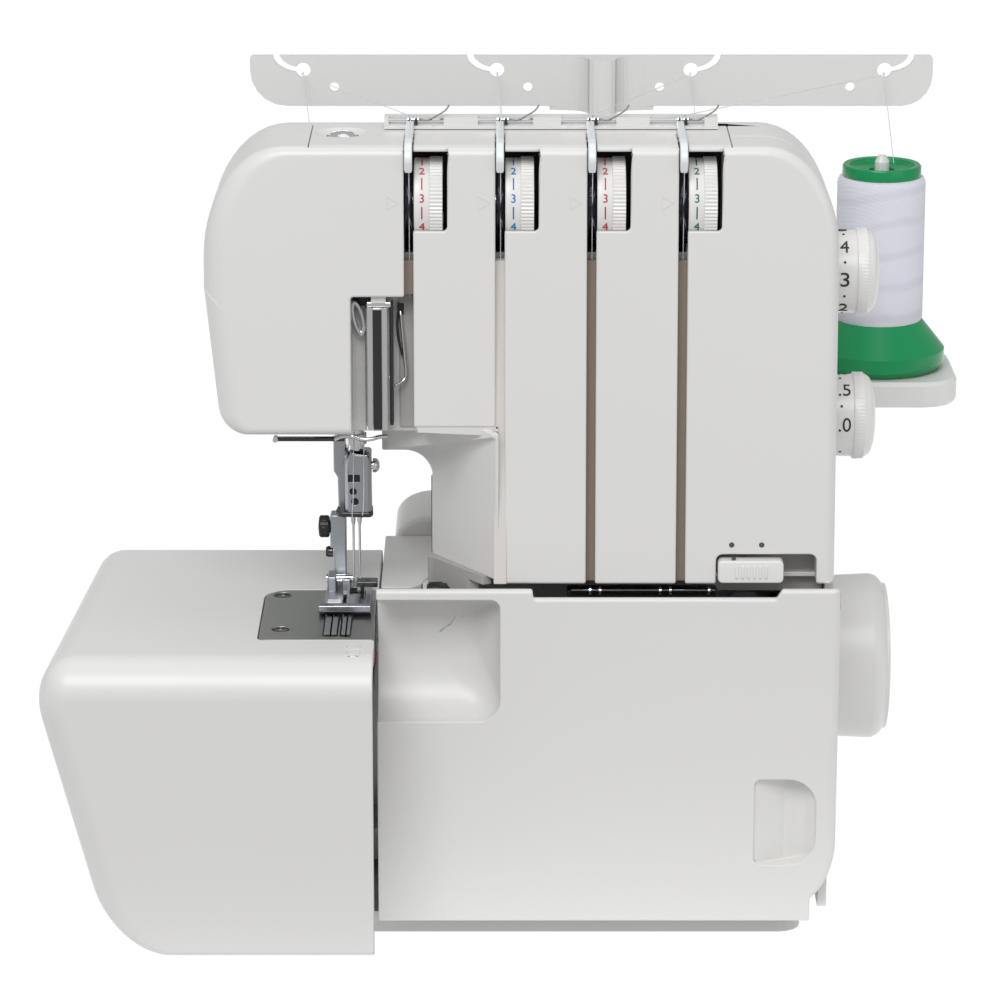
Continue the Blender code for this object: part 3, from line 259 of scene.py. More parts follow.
def make_materials():
    return {
        "white": moulded("casing_white", (0.74, 0.735, 0.72), 0.34),
        "dial_white": moulded("dial_white", (0.80, 0.795, 0.78), 0.3),
        # inner: the slot floors' white plastic darkened as painted shade; slot 2's floor uses pale instead
        "inner": moulded("channel_painted_shade", (0.24, 0.195, 0.155), 0.45),
        "pale": moulded("channel_pale", (0.70, 0.665, 0.64), 0.45),
        # shade: white plastic walls inside the casing darkened to grey as painted shade
        "shade": moulded("painted_shade_grey", (0.42, 0.41, 0.395), 0.5),
        "grey": moulded("base_grey", (0.52, 0.52, 0.51), 0.45),
        "black": moulded("black_plastic", (0.018, 0.018, 0.018), 0.4),
        "rubber": moulded("foot_rubber", (0.03, 0.03, 0.03), 0.75, grain=0.12),
        "cast": metal("cast_frame", (0.5, 0.5, 0.51), 0.5, grain=0.2, scale=500),
        "steel": metal("satin_steel", (0.46, 0.48, 0.51), 0.3, (1, 12, 12)),
        "dark_steel": metal("dark_steel", (0.09, 0.09, 0.09), 0.22, (1, 1, 14)),
        "plate": metal("needle_plate_steel", (0.37, 0.368, 0.36), 0.36, (14, 1, 1), 0.1, 700),
        "feed_steel": metal("feed_steel", (0.2, 0.21, 0.22), 0.3),
        "chrome": metal("bright_steel", (0.78, 0.78, 0.79), 0.08, grain=0.01),
        "green": moulded("spool_green", (0.0, 0.27, 0.085), 0.22),
        "thread": wound("thread_white", (0.76, 0.76, 0.84), (0.70, 0.70, 0.79)),
        "fin": plain("fin_nylon", (0.86, 0.86, 0.85), 0.25, Subsurface_Weight=0.2),
        "ink_red": moulded("ink_red", (0.50, 0.018, 0.022), 0.5),
        "ink_blue": moulded("ink_blue", (0.0, 0.17, 0.50), 0.5),
        "ink_green": moulded("ink_green", (0.0, 0.14, 0.05), 0.5),
        "ink_black": moulded("ink_black", (0.02, 0.02, 0.022), 0.5),
        "ink_grey": moulded("ink_grey", (0.07, 0.085, 0.10), 0.5),
        "pink": moulded("release_red", (0.75, 0.10, 0.13), 0.35),
    }


MATS = make_materials()  # every mat below is a name in this table


# ---------------------------------------------------------------- mesh helpers


def corner_turn(corners, i):
    """The signed turn between the two edges that meet at a corner, and the directions of those edges."""
    here = Vector(corners[i][:2])
    arriving = (here - Vector(corners[i - 1][:2])).normalized()
    leaving = (Vector(corners[(i + 1) % len(corners)][:2]) - here).normalized()
    cross = arriving.x * leaving.y - arriving.y * leaving.x
    return math.atan2(cross, arriving.dot(leaving)), arriving, leaving


def rounded(corners, steps=8, soft=None):
    """The points of a closed outline. A corner is (u, v), (u, v, radius) or (u, v, cut before, cut after).

    With soft, a list of one softness for each corner's leaving edge, it returns (point, softness) pairs.
    """
    points = []
    for i, corner in enumerate(corners):
        here = Vector(corner[:2])
        turn, arriving, leaving = corner_turn(corners, i)
        softness = (soft[i - 1], soft[i]) if soft else (0, 0)
        if len(corner) == 2:
            points.append((here, max(softness)))
            continue
        if len(corner) == 3:
            before = after = abs(corner[2] * math.tan(turn / 2))
        else:
            before, after = corner[2:]
        start = here - arriving * before
        end = here + leaving * after
        pull = 0.5523
        handle_a = start.lerp(here, pull)
        handle_b = end.lerp(here, pull)
        for k in range(steps + 1):
            t = k / steps
            s = 1 - t
            point = s**3 * start + 3 * s * s * t * handle_a + 3 * s * t * t * handle_b + t**3 * end
            points.append((point, softness[0] * s + softness[1] * t))
    return points if soft else [p for p, _ in points]


def inward_normals(points):
    """A mitred inward direction for each point of an anticlockwise outline."""
    normals = []
    count = len(points)
    for i in range(count):
        arriving = points[i] - points[i - 1]
        leaving = points[(i + 1) % count] - points[i]
        a = Vector((-arriving.y, arriving.x)).normalized()
        b = Vector((-leaving.y, leaving.x)).normalized()
        normal = (a + b).normalized()
        normals.append(normal / max(normal.dot(a), 0.5))
    return normals


def inset(points, distance):
    """The outline drawn in by a distance."""
    return [p + n * distance for p, n in zip(points, inward_normals(points))]


def place(axis, u, v, along):
    """A point from its two coordinates across an axis and the one along it."""
    if axis == "X":
        return Vector((along, u, v))
    if axis == "Y":
        return Vector((u, along, v))
    return Vector((u, v, along))


def new_object(name, data, mat=None):
    obj = bpy.data.objects.new(name, data)
    bpy.context.scene.collection.objects.link(obj)
    if mat:
        data.materials.append(MATS[mat])
    return obj


def finish_mesh(bm, name, mat, sharp=38):
    bmesh.ops.recalc_face_normals(bm, faces=bm.faces)
    bm.transform(Matrix.Scale(MM, 4))
    mesh = bpy.data.meshes.new(name)
    bm.to_mesh(mesh)
    bm.free()
    mesh.shade_smooth()
    mesh.set_sharp_from_angle(angle=math.radians(sharp))
    return new_object(name, mesh, mat)


def loft(name, rings, mat=None, sharp=38):
    """A closed solid through rings of points, which all have the same number of points."""
    bm = bmesh.new()
    loops = [[bm.verts.new(p) for p in ring] for ring in rings]
    for low, high in zip(loops, loops[1:]):
        for i in range(len(low)):
            j = (i + 1) % len(low)
            bm.faces.new((low[i], low[j], high[j], high[i]))
    bm.faces.new(list(reversed(loops[0])))
    bm.faces.new(loops[-1])
    return finish_mesh(bm, name, mat, sharp)


def prism(name, outline, axis, start, end, mat=None):
    rings = [[place(axis, p[0], p[1], along) for p in outline] for along in (start, end)]
    return loft(name, rings, mat)


def box(name, low, high, mat=None):
    outline = [(low[0], low[1]), (high[0], low[1]), (high[0], high[1]), (low[0], high[1])]
    return prism(name, outline, "Z", low[2], high[2], mat)


def turned(name, profile, axis, centre, mat=None, sides=SIDES, ripple=None):
    """A solid of revolution through (along, radius) pairs. ripple(along, angle) adds to the radius."""
    rings = []
    for along, radius in profile:
        ring = []
        for k in range(sides):
            angle = 2 * math.pi * k / sides
            r = radius + (ripple(along, angle) if ripple else 0)
            ring.append(place(axis, centre[0] + r * math.cos(angle), centre[1] + r * math.sin(angle), along))
        rings.append(ring)
    return loft(name, rings, mat)


def arc(centre, radius, start, end, steps=6):
    """Points of an arc, for profiles. Angles are in degrees."""
    points = []
    for k in range(steps + 1):
        angle = math.radians(start + (end - start) * k / steps)
        points.append((centre[0] + radius * math.cos(angle), centre[1] + radius * math.sin(angle)))
    return points


def tube(name, points, radius, mat, sides=10, taper=None):
    """A round wire along a list of points, with closed ends."""
    points = [Vector(p) for p in points]
    rings = []
    side = None
    for i, p in enumerate(points):
        ahead = (points[min(i + 1, len(points) - 1)] - points[max(i - 1, 0)]).normalized()
        if side is None:
            side = ahead.orthogonal().normalized()
        side = (side - ahead * side.dot(ahead)).normalized()
        up = ahead.cross(side)
        r = radius * (taper(i / (len(points) - 1)) if taper else 1)
        angles = [2 * math.pi * k / sides for k in range(sides)]
        rings.append([p + r * (side * math.cos(angle) + up * math.sin(angle)) for angle in angles])
    return loft(name, rings, mat)


def smooth_route(points, steps=8):
    """Points along a smooth curve through the route's own points."""
    ends = [points[0]] + list(points) + [points[-1]]
    route = []
    for i in range(len(points) - 1):
        a, b, c, d = (Vector(p) for p in ends[i:i + 4])
        for k in range(steps):
            t = k / steps
            route.append(0.5 * (2 * b + (c - a) * t + (2 * a - 5 * b + 4 * c - d) * t * t
                                + (3 * b - a - 3 * c + d) * t**3))
    route.append(Vector(points[-1]))
    return route


def bake(obj):
    """Applies every modifier of the object."""
    graph = bpy.context.evaluated_depsgraph_get()
    mesh = bpy.data.meshes.new_from_object(obj.evaluated_get(graph))
    obj.modifiers.clear()
    obj.data = mesh
    return obj


def combine(target, tools, operation):
    for tool in tools:
        modifier = target.modifiers.new("combine", "BOOLEAN")
        modifier.operation = operation
        modifier.solver = "EXACT"
        modifier.object = tool
        bake(target)
        bpy.data.objects.remove(tool)
    return target


def cut(target, *tools):
    return combine(target, tools, "DIFFERENCE")


def add(target, *tools):
    return combine(target, tools, "UNION")


def keep(target, *tools):
    return combine(target, tools, "INTERSECT")


def soft_edges(obj, width, segments=2, angle=40):
    """Modifiers that round the edges sharper than the angle and even out the shading of the flat faces."""
    bevel = obj.modifiers.new("soft edges", "BEVEL")
    bevel.width = width * MM
    bevel.segments = segments
    bevel.limit_method = "ANGLE"
    bevel.angle_limit = math.radians(angle)
    even = obj.modifiers.new("even shading", "WEIGHTED_NORMAL")
    even.keep_sharp = True
    return bevel


def soften(obj, width=0.4, segments=2, angle=40):
    """Rounds the sharp edges of a finished piece for good."""
    bevel = soft_edges(obj, width, segments, angle)
    bevel.use_clamp_overlap = False
    bevel.miter_outer = "MITER_ARC"
    return bake(obj)


def soft_box(name, low, high, mat, width):
    """A box with its edges rounded."""
    return soften(box(name, low, high, mat), width)


def joined(name, objects):
    """Makes one object of several, with the first one's material slots kept apart."""
    bm = bmesh.new()
    slots = []
    for obj in objects:
        first = len(bm.faces)
        bm.from_mesh(obj.data)
        bm.faces.ensure_lookup_table()
        for face in bm.faces[first:]:
            mat = obj.data.materials[face.material_index]
            if mat not in slots:
                slots.append(mat)
            face.material_index = slots.index(mat)
    mesh = bpy.data.meshes.new(name)
    bm.to_mesh(mesh)
    bm.free()
    for mat in slots:
        mesh.materials.append(mat)
    for obj in objects:
        bpy.data.objects.remove(obj)
    return new_object(name, mesh)


def mount(obj, body, slot=None, *nodes):
    """Puts a finished piece on its body and hides the nodes that it stands for; the material slot is not
    used.
    """
    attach(obj, body)
    if nodes:
        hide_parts(*nodes)


def stand_in(node, pieces, slot):
    """Joins the pieces into the fine version of a node, which rides on the body of the same name."""
    mount(joined(node + "_fine", pieces), node, slot, node)


# ---------------------------------------------------------------- casings


def front_at(z):
    """How far forward the leaning front plane stands at height z."""
    return FRONT_Y + FRONT_LEAN * (z - FRONT_BOTTOM) / (TOP_Z - FRONT_BOTTOM)


def moved_corners(corners, distances):
    """The outline with each leaving edge moved in by its own distance, its corner cuts shortened to suit."""
    moved = []
    for i, corner in enumerate(corners):
        turn, arriving, _ = corner_turn(corners, i)
        before, after = distances[i - 1], distances[i]
        here = Vector(corner[:2]) + before * Vector((-arriving.y, arriving.x))
        if abs(math.sin(turn)) > 0.02:
            here += arriving * (before * math.cos(turn) - after) / math.sin(turn)
        half = math.tan(turn / 2)
        cuts = list(corner[2:])
        if len(cuts) == 1:
            cuts = [abs(cuts[0] * half)] * 2
        shorter = [max(c - (before + after) / 2 * half, 0.12) for c in cuts]
        moved.append((here.x, here.y, *shorter))
    return moved


def pillow(name, corners, soft, front, back, mat, steps=8, arcs=6):
    """A panel whose front edge is rounded by its own radius on each side; front(z) gives its depth."""
    rings = []
    for k in range(arcs + 1):
        angle = math.pi / 2 * (1 - k / arcs)
        insets = [r * (1 - math.cos(angle)) for r in soft]
        outline = rounded(moved_corners(corners, insets), steps, soft)
        rings.append([Vector((p.x, front(p.y) + r * (1 - math.sin(angle)), p.y)) for p, r in outline])
    rings.append([Vector((p.x, back, p.z)) for p in rings[-1]])
    return loft(name, rings, mat)


def head_panel(mat):
    """The front of the head, left of the first thread slot and round the needle recess."""
    slot = SLOT_X[0]
    corners = [
        (HEAD_FOOT_X, HEAD_LIP, 9, 9),
        (RECESS_LEFT, HEAD_LIP, 0.8),
        (RECESS_LEFT, RECESS_TOP, 1.2),
        (slot, RECESS_TOP, 0.8),
        (slot, TOP_Z, 0.8),
        (HEAD_LEFT, TOP_Z, *HEAD_CORNER),
        (HEAD_LEFT, HEAD_WAIST_Z, 7),
    ]
    soft = [3.0, 0.9, 0.9, 0.7, 3.2, 9.0, 8.0]
    panel = pillow("front_cover_head", corners, soft, front_at, SEAM_Y, mat, steps=14)
    recess_right = SLOT_X[0] + SLOT_WIDTH
    back = box("recess_back", (RECESS_LEFT - 2, RECESS_BACK, HEAD_BOTTOM + 0.2),
               (recess_right + 2, -74.5, 240), mat)
    add(panel, back)
    cut(panel, box("bars", (BARS_LEFT, RECESS_BACK + 3, 180), (BARS_RIGHT, BARS_BACK, 196)))
    return panel


def middle_panel(i, bottom, mat):
    """The panel right of slot i, notched at its top left for the dial window."""
    left = SLOT_X[i] + SLOT_WIDTH
    window = SLOT_X[i] + WINDOW_RIGHT
    right = SLOT_X[i + 1]
    corners = [
        (left, bottom, 0.8),
        (right, bottom, 0.8),
        (right, TOP_Z, 0.8),
        (window, TOP_Z, 0.8),
        (window, WINDOW_BOTTOM, 1.6),
        (left, WINDOW_BOTTOM, 0.5),
    ]
    soft = [1.0, 0.7, 3.2, 0.6, 0.6, 0.7]
    return pillow(f"front_cover_panel_{i + 1}", corners, soft, front_at, SLOT_FLOOR_Y + 1.5, mat)


def right_panel(mat):
    """The panel right of the last slot, with the open-bottomed window of the hem selector."""
    left = SLOT_X[3] + SLOT_WIDTH
    window = SLOT_X[3] + WINDOW_RIGHT
    x0, x1, z = SLIDER_WINDOW
    corners = [
        (left, FRONT_BOTTOM, 0.8),
        (x0, FRONT_BOTTOM, 0.8),
        (x0, z, 2.4),
        (x1, z, 2.4),
        (x1, FRONT_BOTTOM, 0.8),
        (CASE_RIGHT, FRONT_BOTTOM, 2.0),
        (CASE_RIGHT, TOP_Z, *CASE_CORNER),
        (window, TOP_Z, 0.8),
        (window, WINDOW_BOTTOM, 1.6),
        (left, WINDOW_BOTTOM, 0.5),
    ]
    soft = [1.0, 0.6, 0.6, 0.6, 1.0, 4.5, 3.2, 0.6, 0.6, 0.7]
    return pillow("front_cover_right", corners, soft, front_at, SEAM_Y, mat, steps=14)


def channel_floor(i, x, mat):
    """The sloping floor of one thread slot, up to the dark space around the tension discs."""
    low = (RECESS_TOP if i == 0 else FRONT_BOTTOM) + 0.3
    front = -97.5 if i == 1 else -93.2
    side = [(front, FRONT_BOTTOM), (SLOT_FLOOR_Y - 4, DISC_SPACE_BOTTOM), (SLOT_FLOOR_Y, DISC_SPACE_BOTTOM),
            (SLOT_FLOOR_Y, FRONT_BOTTOM)]
    floor = prism(f"slot_floor_{i + 1}", side, "X", x - 0.6, x + SLOT_WIDTH + 0.6, mat)
    cut(floor, box("below", (x - 5, -110, 0), (x + 9, -60, low)))
    return soften(floor, 0.2)


def pointer(i, x, mat):
    """The raised outline of a triangle that points at the dial's number."""
    z = DIAL_AT.z + 2.0
    tip = x - 1.4
    outer = [(tip - 4.6, z - 2.7), (tip, z), (tip - 4.6, z + 2.7)]
    y = front_at(z)
    rings = []
    for offset, lift in ((0, 0.3), (0.08, -0.14), (0.34, -0.14), (0.42, 0.3)):
        points = inset([Vector(p) for p in outer], offset)
        rings.append([Vector((q.x, y + lift + FRONT_LEAN * (q.y - z) / (TOP_Z - FRONT_BOTTOM), q.y))
                      for q in points])
    bm = bmesh.new()
    loops = [[bm.verts.new(p) for p in ring] for ring in rings]
    for k in range(4):
        low, high = loops[k], loops[(k + 1) % 4]
        for a in range(3):
            b = (a + 1) % 3
            bm.faces.new((low[a], low[b], high[b], high[a]))
    return finish_mesh(bm, f"dial_pointer_{i + 1}", mat)


def build_front():
    pieces = [head_panel("white")]
    for i, bottom in ((0, PANEL_LIP), (1, FRONT_BOTTOM), (2, FRONT_BOTTOM)):
        pieces.append(middle_panel(i, bottom, "white"))
    pieces.append(right_panel("white"))
    low, high = TOP_COVER_LOW, TOP_COVER_HIGH
    for i, piece in enumerate(pieces):
        cut(piece, box("top_seat", (low.x - GAP, low.y - 0.3, TOP_Z - SEAT_DEPTH),
                       (high.x + GAP, -20, TOP_Z + 5)))
        if i:
            x = SLOT_X[i - 1]
            cut(piece, box("dial_space", (x + 2, *DIAL_SPACE), (x + WINDOW_RIGHT + 0.4, -50, TOP_Z - 1)))
        soften(piece, 0.35, angle=55)
    for piece in pieces:
        mount(piece, "root", "casing_white", "front_cover")
    for i, left in enumerate(SLOT_X):
        # slot 2's floor is pale, the other floors carry inner, painted shade
        mount(channel_floor(i, left, "pale" if i == 1 else "inner"), "root", "casing_white")
        mount(pointer(i, left, "white"), "root", "casing_white")
    low = SLOT_X[0] - 2
    # the lining behind the slots takes the shade grey, as painted shade
    back = soft_box("front_cover_lining", (low, -78.2, HEAD_BOTTOM + 2), (LINING_RIGHT, -76.5, 249),
                    "shade", 0.3)
    mount(back, "root", "casing_white")
    # a black sheet behind the tension discs stands in for the dark space inside: painted shade
    dark = soft_box("disc_painted_shade", (low, -60.5, 246), (LINING_RIGHT, -59, TOP_Z - 3.5), "black", 0.3)
    mount(dark, "root", "black_plastic")


def fall_height(y, wall=0.0):
    """The height of the rear shell's top at depth y: flat at the front, then falling in a long curve."""
    profile = rounded(
        [
            (SEAM_Y - 40, 0),
            (CASE_BACK - wall, 0),
            (CASE_BACK - wall, 262 - wall, 38, 66),
            (-34, TOP_Z - wall, 24, 6),
            (SEAM_Y - 40, TOP_Z - wall),
        ],
        steps=24,
    )
    best = 0.0
    for a, b in zip(profile, profile[1:]):
        if min(a.x, b.x) <= y <= max(a.x, b.x) and abs(a.x - b.x) > 1e-6:
            t = (y - a.x) / (b.x - a.x)
            best = max(best, a.y + t * (b.y - a.y))
    return best


def falling_shell(name, corners, start, back, wall, drop, mat, base=150.0, soft=7.0):
    """A shell whose outline sinks with the falling top and is rounded at its back edge."""
    stations = []
    steps = 26
    for k in range(steps + 1):
        stations.append((start + (back - soft - start) * k / steps, 0.0))
    for k in range(1, 7):
        angle = math.pi / 2 * k / 6
        stations.append((back - soft + soft * math.sin(angle), soft * (1 - math.cos(angle))))
    rings = []
    for y, offset in stations:
        top = fall_height(min(y, CASE_BACK - 2), wall) - drop
        scale = (top - base) / (TOP_Z - wall - base)
        ring = []
        for p in rounded(moved_corners(corners, [wall + offset] * len(corners)), 12):
            z = base + (p.y - base) * scale if p.y > base else p.y
            ring.append(Vector((p.x, y, z)))
        rings.append(ring)
    return loft(name, rings, mat)


def rear_shell(mat):
    """The back of the machine: column and head in one shell, hollow and open towards the front."""
    column = [
        (COLUMN_LEFT, CASE_BOTTOM, 3),
        (CASE_RIGHT, CASE_BOTTOM, 6),
        (CASE_RIGHT, TOP_Z, *CASE_CORNER),
        (COLUMN_LEFT, TOP_Z, 2),
    ]
    head = [
        (COLUMN_LEFT + 12, HEAD_BOTTOM, 1),
        (COLUMN_LEFT + 12, TOP_Z, 2),
        (HEAD_LEFT, TOP_Z, *HEAD_CORNER),
        (HEAD_LEFT, HEAD_WAIST_Z, 7),
        (HEAD_FOOT_X, HEAD_BOTTOM, 9),
    ]
    start = SEAM_Y + GAP
    shell = falling_shell("rear_cover_shell", column, start, CASE_BACK, 0, 0, mat)
    add(shell, falling_shell("head", head, start, HEAD_BACK, 0, 0.12, mat, base=HEAD_FALL_BASE))
    cut(shell, falling_shell("column_inside", column, start - 5, CASE_BACK - WALL, WALL, 0, mat))
    cut(shell, falling_shell("head_inside", head, start - 5, HEAD_BACK - WALL, WALL, 0.12, mat,
                             base=HEAD_FALL_BASE))
    seat_right, seat_back = TOP_COVER_HIGH.x + GAP, TOP_COVER_HIGH.y + 0.3
    lever = middle("lifter_lever").x
    openings = (
        ("passage", (-50, -60, HEAD_BOTTOM + 3), (0, 30, 250)),
        ("open_bottom", (COLUMN_LEFT + 4, -80, 0), (102, CASE_BACK - WALL, CASE_BOTTOM + 4)),
        ("open_left", (COLUMN_LEFT - 2, -80, 0), (COLUMN_LEFT + 6.5, 13, 117)),
        ("bars", (BARS_LEFT, -70, 180), (BARS_RIGHT, BARS_BACK, 190)),
        ("side_gap", (100, -80, 0), (130, 13, FRONT_BOTTOM)),
        ("top_seat", (TOP_COVER_LOW.x - GAP, -80, TOP_Z - SEAT_DEPTH), (seat_right, seat_back, 300)),
        ("lever_gap", (lever - 5.5, HEAD_BACK - 12, 190), (lever + 5.5, HEAD_BACK + 5, 243)),
    )
    for name, low, high in openings:
        cut(shell, box(name, low, high))
    for z in (middle("stitch_length_dial").z, middle("differential_dial").z):
        cut(shell, turned("dial_hole", [(95, 4), (130, 4)], "X", (middle("stitch_length_dial").y, z),
                          sides=32))
    return soften(shell, 0.35, angle=50)


def rear_bulge(mat):
    """The low housing behind the free arm, which carries the column's left side out at the back."""
    right = COLUMN_LEFT - 0.05
    bulge = [(BULGE_LEFT, CASE_BOTTOM, 3), (right, CASE_BOTTOM), (right, BULGE_TOP),
             (BULGE_LEFT, BULGE_TOP, 14, 10)]
    rings = []
    front = ((15, 2.0), (15.6, 0.8), (17, 0))
    back = ((CASE_BACK - 6, 0), (CASE_BACK - 3, 0.9), (CASE_BACK - 1.4, 2.6))
    for y, offset in front + back:
        outline = rounded(moved_corners(bulge, [offset, 0, offset, offset]), 10)
        rings.append([Vector((p.x, y, p.y)) for p in outline])
    return soften(loft("rear_bulge", rings, mat), 0.35, angle=50)


def top_insert(mat):
    """The insert that closes the top, with the dish round the pressure screw, following the shell's fall."""
    low, high = TOP_COVER_LOW, TOP_COVER_HIGH
    stations = [low.y + (high.y - low.y) * k / 20 for k in range(21)]
    upper = [(y, fall_height(y) - max(0.0, 0.9 - (y - low.y)) ** 2) for y in stations]
    lower = [(y, fall_height(y) - 1.9) for y in reversed(stations)]
    plate = prism("top_cover_insert", upper + lower, "X", low.x, high.x, mat)
    centre = (SCREW_AT.x, SCREW_AT.y)
    cut(plate, turned("dish", [(TOP_Z - 1.3, 5.6), (TOP_Z - 1.1, 7.4), (TOP_Z - 0.3, 9.0),
                               (TOP_Z + 0.6, 10.6)], "Z", centre))
    cut(plate, turned("hole", [(270, 5.6), (300, 5.6)], "Z", centre))
    for x in SLOT_X:
        cut(plate, box("fin_gap", (x - 0.1, -90, 270), (x + SLOT_WIDTH + 0.1, -58, 300)))
    return soften(plate, 0.3)


def throat_wall(mat):
    """The slanted left wall of the column, with the arch that carries it on under the head."""
    plan = [(-95.2, -10.7), (-90, -14.3), (-84, -18.7), (-78, -22.9), (-72, -27.0), (-67, -30.6),
            (-64.6, -32.2), (-63.4, -32.9), (-62, -33.2), (-58, -33.3)]
    rings = []
    for y, x in plan:
        t = min((y - plan[0][0]) / 33, 1.0)
        radius = 1.0 + 8.8 * t
        ceiling = WALL_CEILING - 13.2 * t
        far = x - radius - 0.4 - 7.6 * t ** 2
        cove = arc((x - radius, ceiling - radius), radius, 0, 90, 12)
        inner = [(x, WALL_FOOT_Z)] + cove + [(far, ceiling)]
        outer = [(far, WALL_TOP_Z), (x + 1.0, WALL_TOP_Z), (x + 1.0, WALL_FOOT_Z)]
        rings.append([Vector((u, y, v)) for u, v in inner + outer])
    wall = loft("throat_wall", rings, mat, sharp=30)
    edge = COLUMN_LEFT - GAP
    add(wall, box("wall_back", (edge, -60, WALL_FOOT_Z), (edge + 2.4, HEAD_BACK - 1, HEAD_BOTTOM + 1), mat))
    strip = box("strip", (SLOT_X[1] - 0.2, -94.2, FRONT_BOTTOM + 0.3), (SLOT_X[1] + 0.9, -82, PANEL_LIP),
                mat)
    lip = box("lip", (SLOT_X[0] + SLOT_WIDTH + 0.8, -91.6, PANEL_LIP - 2.3),
              (SLOT_X[1] + 0.6, -79.5, PANEL_LIP + 0.6), mat)
    add(wall, strip, lip)
    return soften(wall, 0.5, angle=50)


def throat_bed(mat):
    """The bed right of the needle plate, with the strip that carries it on to the front."""
    left = node_box("throat_cover")[0].x
    outline = rounded([(left, 14.6), (left, -50, 1.0), (COLUMN_LEFT - GAP, -50, 9, 30),
                       (COLUMN_LEFT - GAP, 14.6)], 8)
    bed = prism("throat_bed", outline, "Z", BED_Z - WALL, BED_Z, mat)
    add(bed, box("bridge", (-37.2, -66.2, BED_Z - WALL + 0.1), (COLUMN_LEFT - GAP, -40, BED_Z - 0.1), mat))
    return soften(bed, 0.5)


def wall_foot(mat):
    """The curved foot that carries the slanted wall down to the bed."""
    plan = [(-12.4, -89.0), (-31.2, -64.6, 2), (-35.0, -62.3), (-35.0, -66.0, 1), (-33.4, -67.0, 4),
            (-15.4, -90.4)]
    foot = prism("wall_foot", rounded(plan, 5), "Z", BED_Z - WALL, FRONT_BOTTOM + 1.2, mat)
    cut(foot, box("over_scoop", (-40, -100, 100), (0, -83.6, 133)))
    return soften(foot, 0.3)


def rounded_ring(corners, y, steps=8):
    return [Vector((p.x, y, p.y)) for p in rounded(corners, steps)]


def scoop_solid(name, front, depth, grow, mat):
    """The hollow of the waste scoop: steep at its top, sweeping out to the front at its bottom and right."""
    left = node_box("looper_cover")[0].x - 8
    right, top, bottom = -9.4 + grow, 131.0 + grow, 86.5 - grow
    rings = [rounded_ring([(left, bottom), (right, bottom, 8), (right, top, 3.3), (left, top)], front - 6)]
    for k in range(29):
        angle = math.pi / 2 * k / 28
        spread = 1 - math.cos(angle)
        shape = [
            (left, bottom + 25 * spread),
            (right - 15 * spread, bottom + 25 * spread, 8 + 5 * spread),
            (right - 15 * spread, top - 6.5 * spread, 3.3 + 3 * spread),
            (left, top - 6.5 * spread),
        ]
        rings.append(rounded_ring(shape, front + (depth + grow) * math.sin(angle)))
    return loft(name, rings, mat)


def grip_solid(front, grow, mat):
    """The finger grip: a shallow ramp from the left that turns into a steep curved wall on the right."""
    x0, x1, z0, z1 = 80.0 - grow, 101.8 + grow, 33.2 - grow, 65.0 + grow
    face = prism("grip", rounded([(x0, z0, 2.4), (x1, z0, 10), (x1, z1, 10), (x0, z1, 2.4)], 8), "Y",
                 front - 6, front + 14, mat)
    plan = rounded([(x0 - 1, front - 6), (x0, front + 1.2 + grow, 1.0), (91.0, front + 6.6 + grow, 3),
                    (97, front + 7.2 + grow, 5), (x1, front + 1.5, 3), (x1 + 1, front - 6)], 6)
    return keep(face, prism("plan", list(reversed(plan)), "Z", z0 - 2, z1 + 2, mat))


def lower_cover(mat):
    """The drop-down looper cover with its waste scoop and finger grip."""
    low, high = node_box("looper_cover")
    left, right = low.x, high.x
    step = high.z - COVER_NOTCH
    corners = [
        (left, low.z, 0.6),
        (100.2, low.z, 0.8),
        (100.2, 20.0, 0.4),
        (right, 29, 9, 12),
        (right, high.z, 1.6),
        (88.6, high.z, 1.0),
        (86.6, step, 1.0),
        (COVER_STEP, step, 0.8),
        (COVER_STEP - 0.4, high.z, 0.8),
        (left, high.z, 0.6),
    ]
    soft = [0.6, 0.8, 1.6, 3.2, 1.6, 0.6, 1.4, 0.6, 1.6, 0.5]
    front = low.y
    cover = pillow("looper_cover_panel", corners, soft, lambda z: front, front + 10, mat, steps=8)
    roof = step - WALL
    hollow = [(left + WALL, low.z + WALL, 1), (98.5, low.z + WALL, 3), (right - WALL, 33, 12),
              (right - WALL, roof, 2), (left + WALL, roof, 1)]
    cut(cover, prism("hollow", rounded(hollow, 6), "Y", front + WALL, front + 20))
    cut(cover, box("top_relief", (left - 1, front + 2.6, roof - 2), (right + 1, front + 30, high.z + 2)))
    scoop_skin = scoop_solid("scoop_skin", front + 0.6, 16.2, 1.6, mat)
    keep(scoop_skin, box("inside", (left, front + 0.6, 0), (60, front + 30, high.z - 0.4)))
    add(cover, scoop_skin)
    cut(cover, scoop_solid("scoop", front, 16.2, 0.0, mat))
    skin = grip_solid(front, 1.6, mat)
    keep(skin, box("inside", (60, front + 1.0, 0), (120, front + 30, 100)))
    add(cover, skin)
    cut(cover, grip_solid(front, 0.0, mat))
    cut(cover, box("hinge_relief", (-46, front + 2.4, 0), (100, -80, 17.5)))
    return soften(cover, 0.45, segments=3, angle=42)


